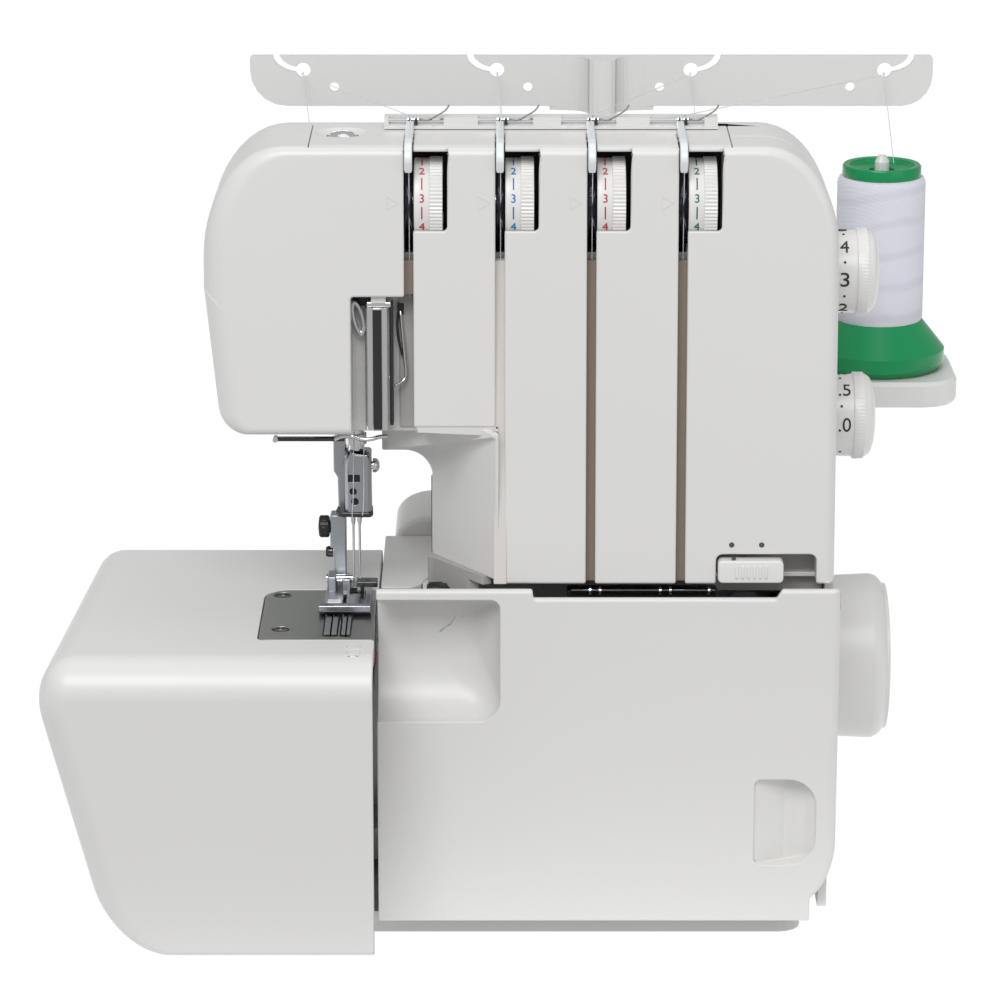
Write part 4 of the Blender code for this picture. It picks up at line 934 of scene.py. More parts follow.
def arm_cover(mat):
    """The pull-off cloth plate: a hollow box with big soft edges, open to the right and below."""
    low, high = node_box("cloth_plate")
    left, right = low.x, high.x
    corners = [
        (left + 23.5, low.z, 26, 20),
        (right, low.z),
        (right, high.z),
        (left - 4.2, high.z, 17, 22),
    ]
    front_soft = [2.6, 0, 13, 10]
    back_soft = [1.0, 0, 5, 5]

    def taper(x, y):
        return right + (x - right) * (1 - 0.075 * (y - low.y) / (high.y - low.y))

    def ring(soft, start, side, angle):
        insets = [r * (1 - math.cos(angle)) for r in soft]
        points = []
        for p, r in rounded(moved_corners(corners, insets), 12, soft):
            y = start + side * r * (1 - math.sin(angle))
            points.append(Vector((taper(p.x, y), y, p.y)))
        return points

    rings = [ring(front_soft, low.y, 1, math.pi / 2 * (1 - k / 10)) for k in range(11)]
    rings += [ring(back_soft, high.y, -1, math.pi / 2 * k / 6) for k in range(7)]
    plate = loft("cloth_plate_shell", rings, mat)
    inside = [(-134, -10, 6), (-30, -10), (-30, BED_Z - WALL), (left - 0.4, BED_Z - WALL, 16, 20)]
    hollow = []
    for y, deep in ((low.y + 4, 8), (low.y + 9, 3.5), (low.y + 15, 0.4), (high.y - WALL, 0.2)):
        outline = rounded(moved_corners(inside, [0, 0, deep, deep]), 8)
        hollow.append([Vector((taper(p.x, y), y, p.y)) for p in outline])
    cut(plate, loft("plate_hollow", hollow, mat))
    (x0, y0), y1 = node_box("needle_plate")[0][:2], node_box("needle_plate")[1].y
    notch = rounded([(x0 - GAP, y0 - GAP, 3), (-30, y0 - GAP), (-30, y1 + GAP), (x0 - GAP, y1 + GAP, 9)], 8)
    cut(plate, prism("plate_notch", notch, "Z", 100, 140))
    for y in (-121.0, -127.5):
        nub = turned("nub", [(BED_Z - 1, 2.6), (BED_Z + 0.05, 2.6), (BED_Z + 0.4, 1.6)], "Z", (-59.5, y),
                     mat, sides=32)
        add(plate, nub)
    return soften(plate, 0.45, angle=50)


def build_casings():
    build_front()
    mount(rear_shell("white"), "root", "casing_white", "rear_cover")
    mount(top_insert("white"), "root", "casing_white", "top_cover")
    mount(throat_wall("white"), "root", "casing_white", "throat_cover")
    mount(throat_bed("white"), "root", "casing_white", "throat_cover")
    # the wall foot is white casing plastic given the shade grey, as painted shade
    mount(wall_foot("shade"), "root", "casing_white")
    mount(rear_bulge("white"), "root", "casing_white")
    mount(lower_cover("white"), "looper_cover", "casing_white", "looper_cover")
    mount(arm_cover("white"), "cloth_plate", "casing_white", "cloth_plate")


# ---------------------------------------------------------------- dials and controls


def glyph(text, height, width=None, thick=0.16):
    """A numeral as a thin flat solid, centred on its own origin and cut into strips so that it can bend."""
    curve = bpy.data.curves.new("numeral", "FONT")
    curve.body = text
    curve.resolution_u = 5
    curve.extrude = thick / height * 0.7
    source = new_object("numeral", curve)
    bpy.context.view_layer.update()
    mesh = bpy.data.meshes.new_from_object(source.evaluated_get(bpy.context.evaluated_depsgraph_get()))
    bpy.data.objects.remove(source)
    bm = bmesh.new()
    bm.from_mesh(mesh)
    bpy.data.meshes.remove(mesh)
    low = Vector([min(v.co[i] for v in bm.verts) for i in range(3)])
    high = Vector([max(v.co[i] for v in bm.verts) for i in range(3)])
    scale = height / (high.y - low.y)
    stretch = width / (high.x - low.x) if width else scale
    for vert in bm.verts:
        moved = vert.co - (low + high) / 2
        vert.co = Vector((moved.x * stretch, moved.y * scale, moved.z * scale))
    bmesh.ops.remove_doubles(bm, verts=bm.verts, dist=1e-4)
    for k in range(1, 8):
        cut_at = Vector((0, height * (k / 8 - 0.5), 0))
        bmesh.ops.bisect_plane(bm, geom=bm.verts[:] + bm.edges[:] + bm.faces[:], plane_co=cut_at, plane_no=Y)
    return bm


def wrapped(name, bm, x, centre, radius, degrees, mat):
    """Bends a flat solid round a drum about an X axis. The angle goes up from the drum's front."""
    for vert in bm.verts:
        angle = math.radians(degrees) + vert.co.y / radius
        r = radius + vert.co.z
        vert.co = Vector((x + vert.co.x, centre[0] - r * math.cos(angle), centre[1] + r * math.sin(angle)))
    return finish_mesh(bm, name, mat)


def mark(width, height, thick=0.16, round_sides=0):
    """A bar or, with round_sides, a dot, as a thin flat solid centred on its origin."""
    if round_sides:
        outline = [(width / 2 * math.cos(2 * math.pi * k / round_sides),
                    height / 2 * math.sin(2 * math.pi * k / round_sides)) for k in range(round_sides)]
    else:
        rows = [height * (k / 8 - 0.5) for k in range(9)]
        outline = [(width / 2, v) for v in rows] + [(-width / 2, v) for v in reversed(rows)]
    bm = bmesh.new()
    rings = [[bm.verts.new((u, v, w)) for u, v in outline] for w in (-thick / 2, thick / 2)]
    count = len(outline)
    for i in range(count):
        j = (i + 1) % count
        bm.faces.new((rings[0][i], rings[0][j], rings[1][j], rings[1][i]))
    if round_sides:
        bm.faces.new(list(reversed(rings[0])))
        bm.faces.new(rings[1])
    else:
        for ring in rings:
            for k in range(8):
                bm.faces.new((ring[k], ring[k + 1], ring[count - 2 - k], ring[count - 1 - k]))
    return bm


def knurl(start, end, count, depth):
    """A ripple for turned: ridges along the axis between two places."""
    def ripple(along, angle):
        if not start <= along <= end:
            return 0
        return -depth if int(round(angle / (2 * math.pi) * count * 2)) % 2 else 0
    return ripple


def tension_dial(i, ink):
    """A thread tension dial: a smooth band with numbers 1 to 9 and a ridged rim."""
    node = f"tension_dial_{i}"
    low, high = node_box(node)
    centre = (DIAL_AT.y, DIAL_AT.z)
    band = low.x + 5.1
    edge = high.x - 0.4
    teeth = 72
    profile = [(low.x, 5.0), (low.x, DIAL_R - 0.8), (low.x + 0.4, DIAL_R - DIAL_BAND),
               (band - 0.1, DIAL_R - DIAL_BAND), (band, DIAL_R - 0.5), (band + 0.35, DIAL_R),
               (edge - 0.1, DIAL_R), (edge, DIAL_R - 0.3), (edge + 0.02, DIAL_R - 1.8),
               (edge - 1.2, DIAL_R - 2.4), (edge - 1.2, 5.0)]
    drum = turned("dial_drum", profile, "X", centre, "dial_white", sides=teeth * 2,
                  ripple=knurl(band + 0.3, edge - 0.05, teeth, 0.34))
    pieces = [drum]
    radius = DIAL_R - DIAL_BAND
    for k in range(9):
        degrees = 94 - 40 * k
        pieces.append(wrapped("numeral", glyph(str(k + 1), 2.9), low.x + 2.75, centre, radius, degrees, ink))
        if k < 8:
            pieces.append(wrapped("bar", mark(0.46, 4.4), low.x + 2.75, centre, radius, degrees - 20, ink))
    stand_in(node, pieces, "casing_white")


def tension_discs(i):
    """The two spring discs beside the dial, on their stud."""
    x = SLOT_X[i - 1]
    centre = (DIAL_AT.y, DIAL_AT.z)
    pieces = []
    for start, lean in ((x + 0.55, 1), (x + 1.9, -1)):
        face = start + 0.5
        flare = ((0, 1.0), (0, 12.2), (0.45, 13.4), (0.6, 13.3), (0.3, 12.1), (0.3, 1.0))
        profile = [(face - lean * out, r) for out, r in flare]
        if lean > 0:
            profile.reverse()
        pieces.append(turned("disc", profile, "X", centre, "dark_steel", sides=96))
    pieces.append(turned("stud", [(x - 0.3, 2.0), (x + 3.0, 2.0)], "X", centre, "chrome", sides=24))
    mount(joined(f"tension_discs_{i}", pieces), "root", "satin_steel")


def side_dial(node, marks):
    """A dial on the right side: numbers on its band, a knurled rim and a domed face."""
    low, high = node_box(node)
    centre_at = middle(node)
    centre = (centre_at.y, centre_at.z)
    radius = (high.z - low.z) / 2
    rim = CASE_RIGHT + 8.9
    edge = CASE_RIGHT + 13.0
    profile = [(low.x, 6), (low.x, 8), (CASE_RIGHT + 0.6, 8), (CASE_RIGHT + 0.6, radius - 1.0),
               (rim - 0.5, radius - 0.8), (rim - 0.2, radius - 0.8), (rim, radius - 0.2),
               (rim + 0.3, radius), (edge - 0.4, radius - 0.1), (edge, radius - 0.6)]
    for k in range(1, 9):
        angle = math.pi / 2 * k / 9
        profile.append((edge + (high.x - edge) * math.sin(angle) ** 0.8,
                        (radius - 1.0) * math.cos(angle) ** 0.8))
    profile.append((high.x, 0.6))
    drum = turned("dial_drum", profile, "X", centre, "dial_white", sides=160,
                  ripple=knurl(rim + 0.1, edge - 0.1, 80, 0.22))
    pieces = [drum]
    for text, degrees in marks:
        if text == ".":
            shape = mark(0.95, 0.95, round_sides=16)
        else:
            shape = glyph(text, 5.0, 6.6 if len(text) > 1 else 3.1)
        pieces.append(wrapped("mark", shape, CASE_RIGHT + 4.2, centre, radius - 0.85, degrees, "ink_black"))
    stand_in(node, pieces, "casing_white")


def hand_wheel():
    """The handwheel: a soft-edged drum with a dished face and a hub."""
    low, high = WHEEL_LOW, WHEEL_HIGH
    centre = ((low.y + high.y) / 2, (low.z + high.z) / 2)
    radius = (high.z - low.z) / 2
    soft = 5.5
    profile = [(low.x, 9), (low.x, radius - 1.2), (low.x + 0.4, radius - 0.8), (high.x - soft - 2.4, radius)]
    profile += [(high.x - 2.4 - soft + u, radius - soft + v) for u, v in arc((0, 0), soft, 80, 20, 8)]
    for k in range(0, 9):
        t = k / 8
        profile.append((high.x - 1.6 + 1.6 * (1 - (1 - t) ** 2), (radius - 3.9) * (1 - t) + 0.5))
    profile.append((high.x, 0.3))
    wheel = turned("handwheel_fine", profile, "X", centre, "white", sides=128)
    cut(wheel, turned("hub_space", [(low.x - 4, radius - 4), (low.x + 16, radius - 5)], "X", centre))
    hub = turned("hub", [(low.x, 9), (low.x + 17, 9)], "X", centre, "white")
    cut(hub, turned("bore", [(low.x - 4, 5.2), (low.x + 18.5, 5.2)], "X", centre, sides=32))
    add(wheel, hub)
    mount(soften(wheel, 0.3), "handwheel", "casing_white", "handwheel")


def slider_knob():
    """The hem selector's knob, with six upright ribs and its index line."""
    low, high = node_box("hem_slider")
    front = low.y
    corners = [(low.x - 0.3, low.z - 0.2, 1.6), (high.x, low.z - 0.2, 1.6), (high.x, high.z, 1.6),
               (low.x - 0.3, high.z, 1.6)]
    knob = pillow("hem_slider_knob", corners, [0.6] * 4, lambda z: front, front + 5.6, "dial_white")
    pieces = [knob]
    for k in range(6):
        x = low.x + 5.6 + 2.05 * k
        pieces.append(soft_box("rib", (x, front - 0.55, low.z + 1.6), (x + 1.0, front + 0.4, high.z - 1.6),
                               "dial_white", 0.28))
    pieces.append(box("index", (low.x + 4.4, front + 1.4, high.z - 0.6),
                      (low.x + 5.8, front + 2.6, high.z + 1.0), "ink_grey"))
    stand_in("hem_slider", pieces, "casing_white")


def slider_space():
    """The inner wall seen behind the hem selector, and the marks above its two settings."""
    x0, x1, z = SLIDER_WINDOW
    # the back wall takes the shade grey, as painted shade inside the window
    back = box("slider_back", (x0 - 3, -84.5, FRONT_BOTTOM - 6), (x1 + 3, -82.5, z + 3), "shade")
    rail = box("rail", (x0 - 3, -88.5, FRONT_BOTTOM + 0.4), (x1 + 3, -83.5, FRONT_BOTTOM + 2.0), "white")
    mount(soften(joined("slider_space", [back, rail]), 0.25), "root", "casing_white")
    for k, x in enumerate((71.0, 81.4)):
        height = z + 3.4
        y = front_at(height)
        dot = turned(f"setting_mark_{k + 1}", [(y - 0.08, 0.95), (y + 0.3, 0.95)], "Y", (x, height),
                     "ink_grey", sides=24)
        mount(dot, "root", "black_plastic")


def rocker():
    """The power switch, pinched a little towards its two ends."""
    low, high = node_box("power_switch")
    at = middle("power_switch")
    corners = [(low.y, low.z, 1), (high.y, low.z, 1), (high.y, high.z, 1), (low.y, high.z, 1)]
    rings = []
    for x, offset in ((low.x, 0), (high.x - 0.8, 0), (high.x - 0.2, 0.4), (high.x, 1.0)):
        rings.append([Vector((x - abs(p.y - at.z) * 0.04, p.x, p.y))
                      for p in inset(rounded(corners, 4), offset)])
    mount(loft("power_switch_fine", rings, "black"), "power_switch", "black_plastic", "power_switch")


def pressure_knob():
    """The foot pressure screw in the dish on top, with its dark socket."""
    low, high = node_box("pressure_screw")
    centre = (SCREW_AT.x, SCREW_AT.y)
    profile = [(low.z, 3.4), (high.z - 3.4, 3.4), (high.z - 3.4, 5.2), (high.z - 2.2, 5.2),
               (high.z - 1.6, 4.9), (high.z - 0.9, 4.1), (high.z - 0.35, 2.9), (high.z - 0.05, 1.4),
               (high.z, 0.2)]
    screw = turned("pressure_screw_fine", profile, "Z", centre, "chrome", sides=48)
    cut(screw, box("slot", (SCREW_AT.x - 6, SCREW_AT.y - 0.6, high.z - 1.5),
                   (SCREW_AT.x + 6, SCREW_AT.y + 0.6, high.z + 2)))
    mount(soften(screw, 0.15), "pressure_screw", "bright_steel", "pressure_screw")
    ring = turned("screw_socket", [(TOP_Z - 3.2, 7.2), (TOP_Z - 1.6, 7.2)], "Z", centre, "black", sides=48)
    cut(ring, turned("bore", [(TOP_Z - 6, 5.4), (TOP_Z, 5.4)], "Z", centre, sides=32))
    mount(ring, "root", "black_plastic")


def build_controls():
    inks = ("ink_red", "ink_blue", "ink_red", "ink_green")
    for i, ink in zip((1, 2, 3, 4), inks):
        tension_dial(i, ink)
        tension_discs(i)
    upper = [("5", 97), (".", 75), ("4", 49), (".", 25), ("3", 1), (".", -24), ("2", -48), (".", -73),
             ("1", -97)]
    lower = [("2.0", 105), (".", 78), ("1.5", 52), (".", 27), ("1.0", 1), (".", -48), ("0.7", -100)]
    side_dial("stitch_length_dial", upper)
    side_dial("differential_dial", lower)
    hand_wheel()
    slider_knob()
    slider_space()
    rocker()
    pressure_knob()


# ---------------------------------------------------------------- thread path


def cone_spool(i):
    """A wound cone: green body with its two flanges, and the white winding between them."""
    low, high = node_box(f"spool_{i}")
    centre = SPOOLS[i - 1][:2]
    bottom, top = low.z, high.z
    radius = (high.x - low.x) / 2
    body = [(bottom, 6.2), (bottom, radius - 2.0), (bottom + 1.9, radius - 0.5), (bottom + 2.6, radius),
            (bottom + 7.6, radius), (bottom + 8.2, radius - 0.5), (bottom + 18.8, 17.0),
            (bottom + 19.2, 16.0), (top - 5.0, 13.0), (top - 4.6, 15.0), (top - 4.0, 15.3),
            (top - 0.8, 15.2), (top, 14.6), (top - 0.3, 12.6), (top - 1.6, 12.0), (top - 2.4, 6.2)]
    core = turned("core", body, "Z", centre, "green", sides=96)
    cut(core, turned("bore", [(bottom - 2, 5.0), (top + 4, 5.0)], "Z", centre, sides=48))
    soften(core, 0.25)
    winding = [(bottom + 18.5, 14), (bottom + 18.5, 16.6), (bottom + 19.8, 17.1)]
    winding += [(bottom + 20 + (top - bottom - 27) * k / 8, 17.15 - 0.12 * k / 8) for k in range(1, 9)]
    winding += [(top - 5.2, 16.4), (top - 4.5, 14.4)]
    wound_thread = turned("winding", winding, "Z", centre, "thread", sides=128)
    stand_in(f"spool_{i}", [core, wound_thread], "spool_green")


def hole_of(i):
    """Where thread i passes the guide bar: the round end of its keyhole."""
    return Vector((HOLE_X[i - 1], BAR_LOW.y + 1.0, HOLE_Z + 0.4))


def free_thread(name, points):
    """A strand of thread, not yet on any body."""
    strand = tube(name, points, THREAD_RADIUS, "thread", sides=6)
    return strand


def thread_run(i):
    """One thread: up from the spool, through the guide bar, then forward and down to its clip and slot."""
    spool = SPOOLS[i - 1]
    hole = hole_of(i)
    clip = Vector((SLOT_X[i - 1] + 1.8, ROD.y - 0.6, ROD.z + 1.6))
    rise = [Vector((spool.x + 4, spool.y - 6, 244.6)), hole + Vector((0.2, 7, -0.6))]
    lower = [rise[0].lerp(rise[1], k / 12) for k in range(13)]
    strand = free_thread(f"thread_up_{i}", lower)
    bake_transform(strand)
    span = [hole + Vector((0, 7, -0.6)), hole, hole + Vector((0, -1.4, 0.1))]
    run = span + [span[-1].lerp(clip, k / 14) for k in range(1, 15)]
    strand = free_thread(f"thread_down_{i}", run)
    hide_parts(f"thread_{i}")
    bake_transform(strand)
    inside = [clip, Vector((clip.x, -60, TOP_Z + 2.9)), Vector((clip.x, -80, TOP_Z + 2.3)),
              Vector((clip.x, -84.6, 283)), Vector((clip.x, -82.6, 262)), Vector((clip.x, -81.8, 236)),
              Vector((clip.x, -81.4, THREAD_ENDS[i - 1]))]
    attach(free_thread(f"thread_in_{i}", smooth_route(inside, 6)), "root")


def thread_fin(i):
    """The nylon guide that leads a thread from the top guide over the edge into its slot."""
    x = SLOT_X[i - 1] + 0.25
    outline = rounded([(-50, TOP_Z + 0.5), (-80, TOP_Z + 0.4, 3), (-84.8, 283.5, 3), (-86.6, 278.4),
                       (-88.8, 283.5, 3), (-86.0, 288.2, 6), (-79, TOP_Z + 2.1, 4), (-50, TOP_Z + 2.7)],
                      5)
    fin = prism(f"thread_fin_{i}", list(reversed(outline)), "X", x, x + 2.7, "fin")
    mount(soften(fin, 0.5), "root", "casing_white")


def rod_clip(i):
    """The wire spring on the top guide's rod that holds a thread down."""
    x = SLOT_X[i - 1] + 0.4
    centre = (ROD.y, ROD.z)
    pieces = []
    for k in range(4):
        start = x + 1.15 * k
        profile = [(start, 1.0), (start + 0.15, 1.5), (start + 0.8, 1.5), (start + 0.95, 1.0)]
        pieces.append(turned("coil", profile, "X", centre, "chrome", sides=24))
    pieces.append(box("clip", (x + 0.6, ROD.y - 3.4, ROD.z - 1.6), (x + 1.7, ROD.y - 0.4, ROD.z + 0.9),
                      "dark_steel"))
    pieces.append(box("clip", (x + 2.7, ROD.y - 3.4, ROD.z - 1.6), (x + 3.8, ROD.y - 0.4, ROD.z + 0.9),
                      "dark_steel"))
    tail = [(x + 4.2, ROD.y - 1.2, ROD.z + 0.6), (x + 7.5, ROD.y - 1.6, ROD.z + 0.4),
            (x + 10.5, ROD.y - 1.4, ROD.z + 1.9), (x + 13.4, ROD.y - 0.6, ROD.z + 3.6),
            (x + 14.8, ROD.y, ROD.z + 5.4)]
    pieces.append(tube("tail", smooth_route(tail, 5), 0.28, "dark_steel", sides=8))
    mount(joined(f"rod_clip_{i}", pieces), "root", "bright_steel")


def build_thread_path():
    for i in (1, 2, 3, 4):
        cone_spool(i)
        thread_run(i)
        thread_fin(i)
        rod_clip(i)


# ---------------------------------------------------------------- stitching area


def screw_head(name, x, y, z, radius, mat, turn):
    """A countersunk slotted screw in the needle plate."""
    head = turned(name, [(z - 1.2, radius - 0.6), (z - 0.25, radius), (z - 0.1, radius - 0.15)], "Z",
                  (x, y), mat, sides=40)
    slot_at = box("slot", (-radius - 1, -0.45, z - 0.8), (radius + 1, 0.45, z + 1))
    slot_at.data.transform(Matrix.Rotation(math.radians(turn), 4, "Z"))
    slot_at.data.transform(Matrix.Translation((x * MM, y * MM, 0)))
    cut(head, slot_at)
    return head


def stepped(name, outline, levels, mat):
    """An upright solid whose outline is drawn in by its own amount at each level."""
    rings = [[Vector((p.x, p.y, z)) for p in inset(outline, offset)] for z, offset in levels]
    return loft(name, rings, mat)


def slot_outline(x0, x1, y0, y1):
    """The outline of a slot in the needle plate."""
    return rounded([(x0, y0, 0.8), (x1, y0, 0.8), (x1, y1, 0.8), (x0, y1, 0.8)], 3)


def throat_plate():
    """The needle plate with its feed slots, needle slot and two screws, and a dark sheet under it as painted
    shade seen through the slots.
    """
    low, high = node_box("needle_plate")
    left, right, front, back, top = low.x, high.x, low.y, high.y, high.z
    corners = [(left, front, 3.4), (right, front, 0.6), (right, back, 0.6), (left, back, 9)]
    levels = ((top - 2.0, 0), (top - 0.35, 0), (top, 0.35))
    plate = stepped("needle_plate_fine", rounded(corners, 8), levels, "plate")
    for x0, x1 in FEED_SLOTS:
        cut(plate, prism("feed_slot", slot_outline(x0, x1, -108.6, -66), "Z", top - 5, top + 2))
    cut(plate, prism("needle_slot", slot_outline(*NEEDLE_SLOT), "Z", top - 5, top + 2))
    for x, y in PLATE_SCREWS:
        cut(plate, turned("seat", [(top - 3, 2.4), (top - 0.6, 3.0), (top + 0.5, 3.7)], "Z", (x, y),
                          sides=40))
    soften(plate, 0.12)
    mount(plate, "root", "satin_steel", "needle_plate")
    for k, (x, y) in enumerate(PLATE_SCREWS):
        mount(screw_head(f"plate_screw_{k + 1}", x, y, top, 2.9, "dark_steel", 12 + 8 * k), "root",
              "bright_steel")
    # black sheet below the plate: painted shade seen through the slots
    under = box("plate_painted_shade", (left + 3, front + 2, top - 18.6), (right - 0.2, back - 3, top - 17.6),
                "black")
    mount(under, "root", "black_plastic")


def toothed_bar(x0, x1, y0, y1, z, mat):
    """A feed dog bar with saw teeth along its top."""
    count = int((y1 - y0) / 1.25)
    outline = [(y0, z - 7), (y1, z - 7)]
    for k in range(count):
        y = y1 - (y1 - y0) * k / count
        outline += [(y, z - 0.75), (y - 0.2, z), (y - 0.4, z)]
    outline.append((y0, z - 0.75))
    return prism("bar", outline, "X", x0, x1, mat)


def feed_dog(node):
    """Two toothed bars in each feed slot, on their carrier."""
    low, high = node_box(node)
    bars = []
    for x0, x1 in FEED_SLOTS:
        half = (x1 - x0) / 2
        bars.append(toothed_bar(x0 + 0.5, x0 + half - 0.2, low.y, high.y, high.z, "feed_steel"))
        bars.append(toothed_bar(x0 + half + 0.4, x1 - 0.5, low.y, high.y, high.z, "feed_steel"))
    bars.append(box("carrier", (low.x + 0.4, low.y + 0.4, low.z),
                    (high.x - 0.4, high.y - 0.4, high.z - 6), "steel"))
    stand_in(node, bars, "satin_steel")


def clamp():
    """The needle clamp with its set-screw holes, its flange and its side screw."""
    low, high = CLAMP_LOW + CLAMP_RISE, CLAMP_HIGH + CLAMP_RISE
    left, right = CLAMP_SIDES
    front, back = low.y + 0.4, high.y
    outline = rounded([(left, back, 1), (left, front + 1.4, 0.3), (left + 1.2, front, 0.4),
                       (right - 1.2, front, 0.4), (right, front + 1.4, 0.3), (right, back, 1)], 3)
    levels = ((low.z + 1.6, 0), (high.z - 0.9, 0), (high.z - 0.3, 0.35), (high.z, 0.9))
    body = stepped("clamp", outline, levels, "steel")
    x0, x1, z0, z1 = SET_SQUARE
    cut(body, box("square", (x0, front - 1, z0), (x1, front + 1.6, z1)))
    for x, z, r in SET_SCREWS:
        cut(body, turned("hole", [(front - 1, r + 0.05), (front + 2.4, r + 0.05)], "Y", (x, z), sides=28))
    cut(body, turned("bore", [(high.z - 4, 2.4), (high.z + 2, 2.4)], "Z", (-60.3, -62), sides=28))
    soften(body, 0.18)
    pieces = [body]
    pieces.append(box("square_bottom", (x0, front + 1.2, z0), (x1, front + 1.6, z1), "black"))
    for x, z, r in SET_SCREWS:
        pieces.append(turned("set_screw", [(front + 1.5, r), (front + 2.2, r)], "Y", (x, z), "black",
                             sides=24))
    flange_outline = rounded([(-67.6, front + 2.2, 1.6), (-66.0, front - 0.2, 1.6),
                              (-55.0, front - 0.9, 1.2), (-54.2, front + 1.6, 1.2), (-54.6, back, 1.4),
                              (-66.8, back, 1.4)], 4)
    flange = prism("flange", flange_outline, "Z", low.z, low.z + 1.7, "dark_steel")
    pieces.append(soften(flange, 0.3))
    y = (front + back) / 2 - 1
    head = [(right - 0.5, 1.4), (right + 0.5, 1.4), (right + 0.5, 2.6), (right + 1.5, 2.6),
            (right + 2.3, 2.1), (right + 2.8, 1.2), (right + 3.0, 0.2)]
    screw = turned("clamp_screw", head, "X", (y, 168.8), "chrome", sides=32)
    cut(screw, box("slot", (right + 1.9, y - 4, 168.4), (right + 5, y + 4, 169.2)))
    pieces.append(screw)
    bar_top = node_box("needle_bar")[1].z
    x, z = middle("needle_bar").x, high.z
    collar = [(z + 0.1, 2.6), (z + 0.3, 2.9), (z + 2.6, 2.9), (z + 2.8, 3.9), (z + 6.4, 3.9),
              (z + 6.6, 2.9), (bar_top, 2.9)]
    pieces.append(turned("needle_bar_rod", collar, "Z", (x, middle("needle_bar").y), "chrome", sides=40))
    mount(joined("needle_clamp_fine", pieces), "needle_bar", "satin_steel", "needle_clamp", "needle_bar")


def needle(node):
    """A needle with its thick shank, thinner blade, eye and tapering point."""
    low, high = node_box(node)
    at = middle(node)
    profile = [(low.z, 0.06), (low.z + 1.4, 0.28), (low.z + 3.4, 0.36), (low.z + 8, 0.4),
               (high.z - 13, 0.42), (high.z - 11.5, 0.8), (high.z, 0.8)]
    shaft = turned(node + "_fine", profile, "Z", (at.x, at.y), "chrome", sides=20)
    cut(shaft, box("eye", (at.x - 0.14, at.y - 2, low.z + 3.6), (at.x + 0.14, at.y + 2, low.z + 5.4)))
    mount(shaft, "needle_bar", "bright_steel", node)


def needle_threads():
    """The thread in front of each needle, from the head down to the eye."""
    for node, lean in (("needle_left", -0.6), ("needle_right", 0.9)):
        low = node_box(node)[0]
        at = middle(node)
        front = CLAMP_LOW.y - 0.1
        route = [(at.x + lean + 1.2, front + 2.5, 181.5), (at.x + lean + 1.0, front + 0.2, 173.5),
                 (at.x + lean + 0.9, front, 160), (at.x + lean + 0.4, front - 0.2, 152.0),
                 (at.x, at.y - 2.0, 146.5), (at.x, at.y - 0.9, 136), (at.x, at.y - 0.6, low.z + 4.5)]
        strand = tube("strand_" + node, smooth_route(route, 6), STRAND_RADIUS, "thread", sides=8)
        mount(strand, "needle_bar", "thread_white")


def presser_pieces():
    """The presser bar with its bracket, and the foot's shank with its thumb screw."""
    levels = ((-66.6, -64.4, 148.4), (-66.9, -63.7, 163.6), (-68.3, -63.7, 166.0), (-68.3, -63.7, 177.8))
    front, back = -60.6, -52
    rings = []
    for left, right, z in levels:
        corners = ((left, front), (right, front), (right, back), (left, back))
        rings.append([Vector((x, y, z)) for x, y in corners])
    bracket = soften(loft("bracket", rings, "steel"), 0.5)
    bar_top = node_box("presser_bar")[1].z
    bar = turned("rod", [(176, 2.9), (bar_top, 2.9)], "Z", (-66, -54), "chrome", sides=32)
    stand_in("presser_bar", [bracket, bar], "satin_steel")
    shank_outline = rounded([(-69.7, 125.5, 0.5), (-68.4, 123.2, 0.6), (-64.2, 123.2, 0.6),
                             (-64.2, 148.6, 0.8), (-69.9, 148.6, 0.8), (-69.9, 136.4, 0.3),
                             (-68.6, 136.0, 0.3), (-68.4, 128.0, 0.3)], 3)
    shank = prism("shank", list(reversed(shank_outline)), "Y", -56.6, -50, "steel")
    soften(shank, 0.4)
    y = -53.5
    knob = turned("thumb_screw", [(-74.2, 1.2), (-73.9, 3.4), (-73.4, 4.0), (-70.7, 4.0), (-70.2, 3.4),
                                  (-70.1, 2.2), (-69.0, 2.2)], "X", (y, 143.6), "black", sides=48,
                  ripple=knurl(-73.6, -70.4, 12, 0.45))
    cut(knob, box("slot", (-74.6, y - 0.5, 139), (-73.4, y + 0.5, 149)))
    pin = turned("pivot_screw", [(-71.6, 1.6), (-70.8, 2.0), (-69.0, 2.0)], "X", (y, 134.2), "dark_steel",
                 sides=32)
    mount(joined("foot_holder_fine", [shank, knob, pin]), "presser_bar", "satin_steel", "foot_holder")


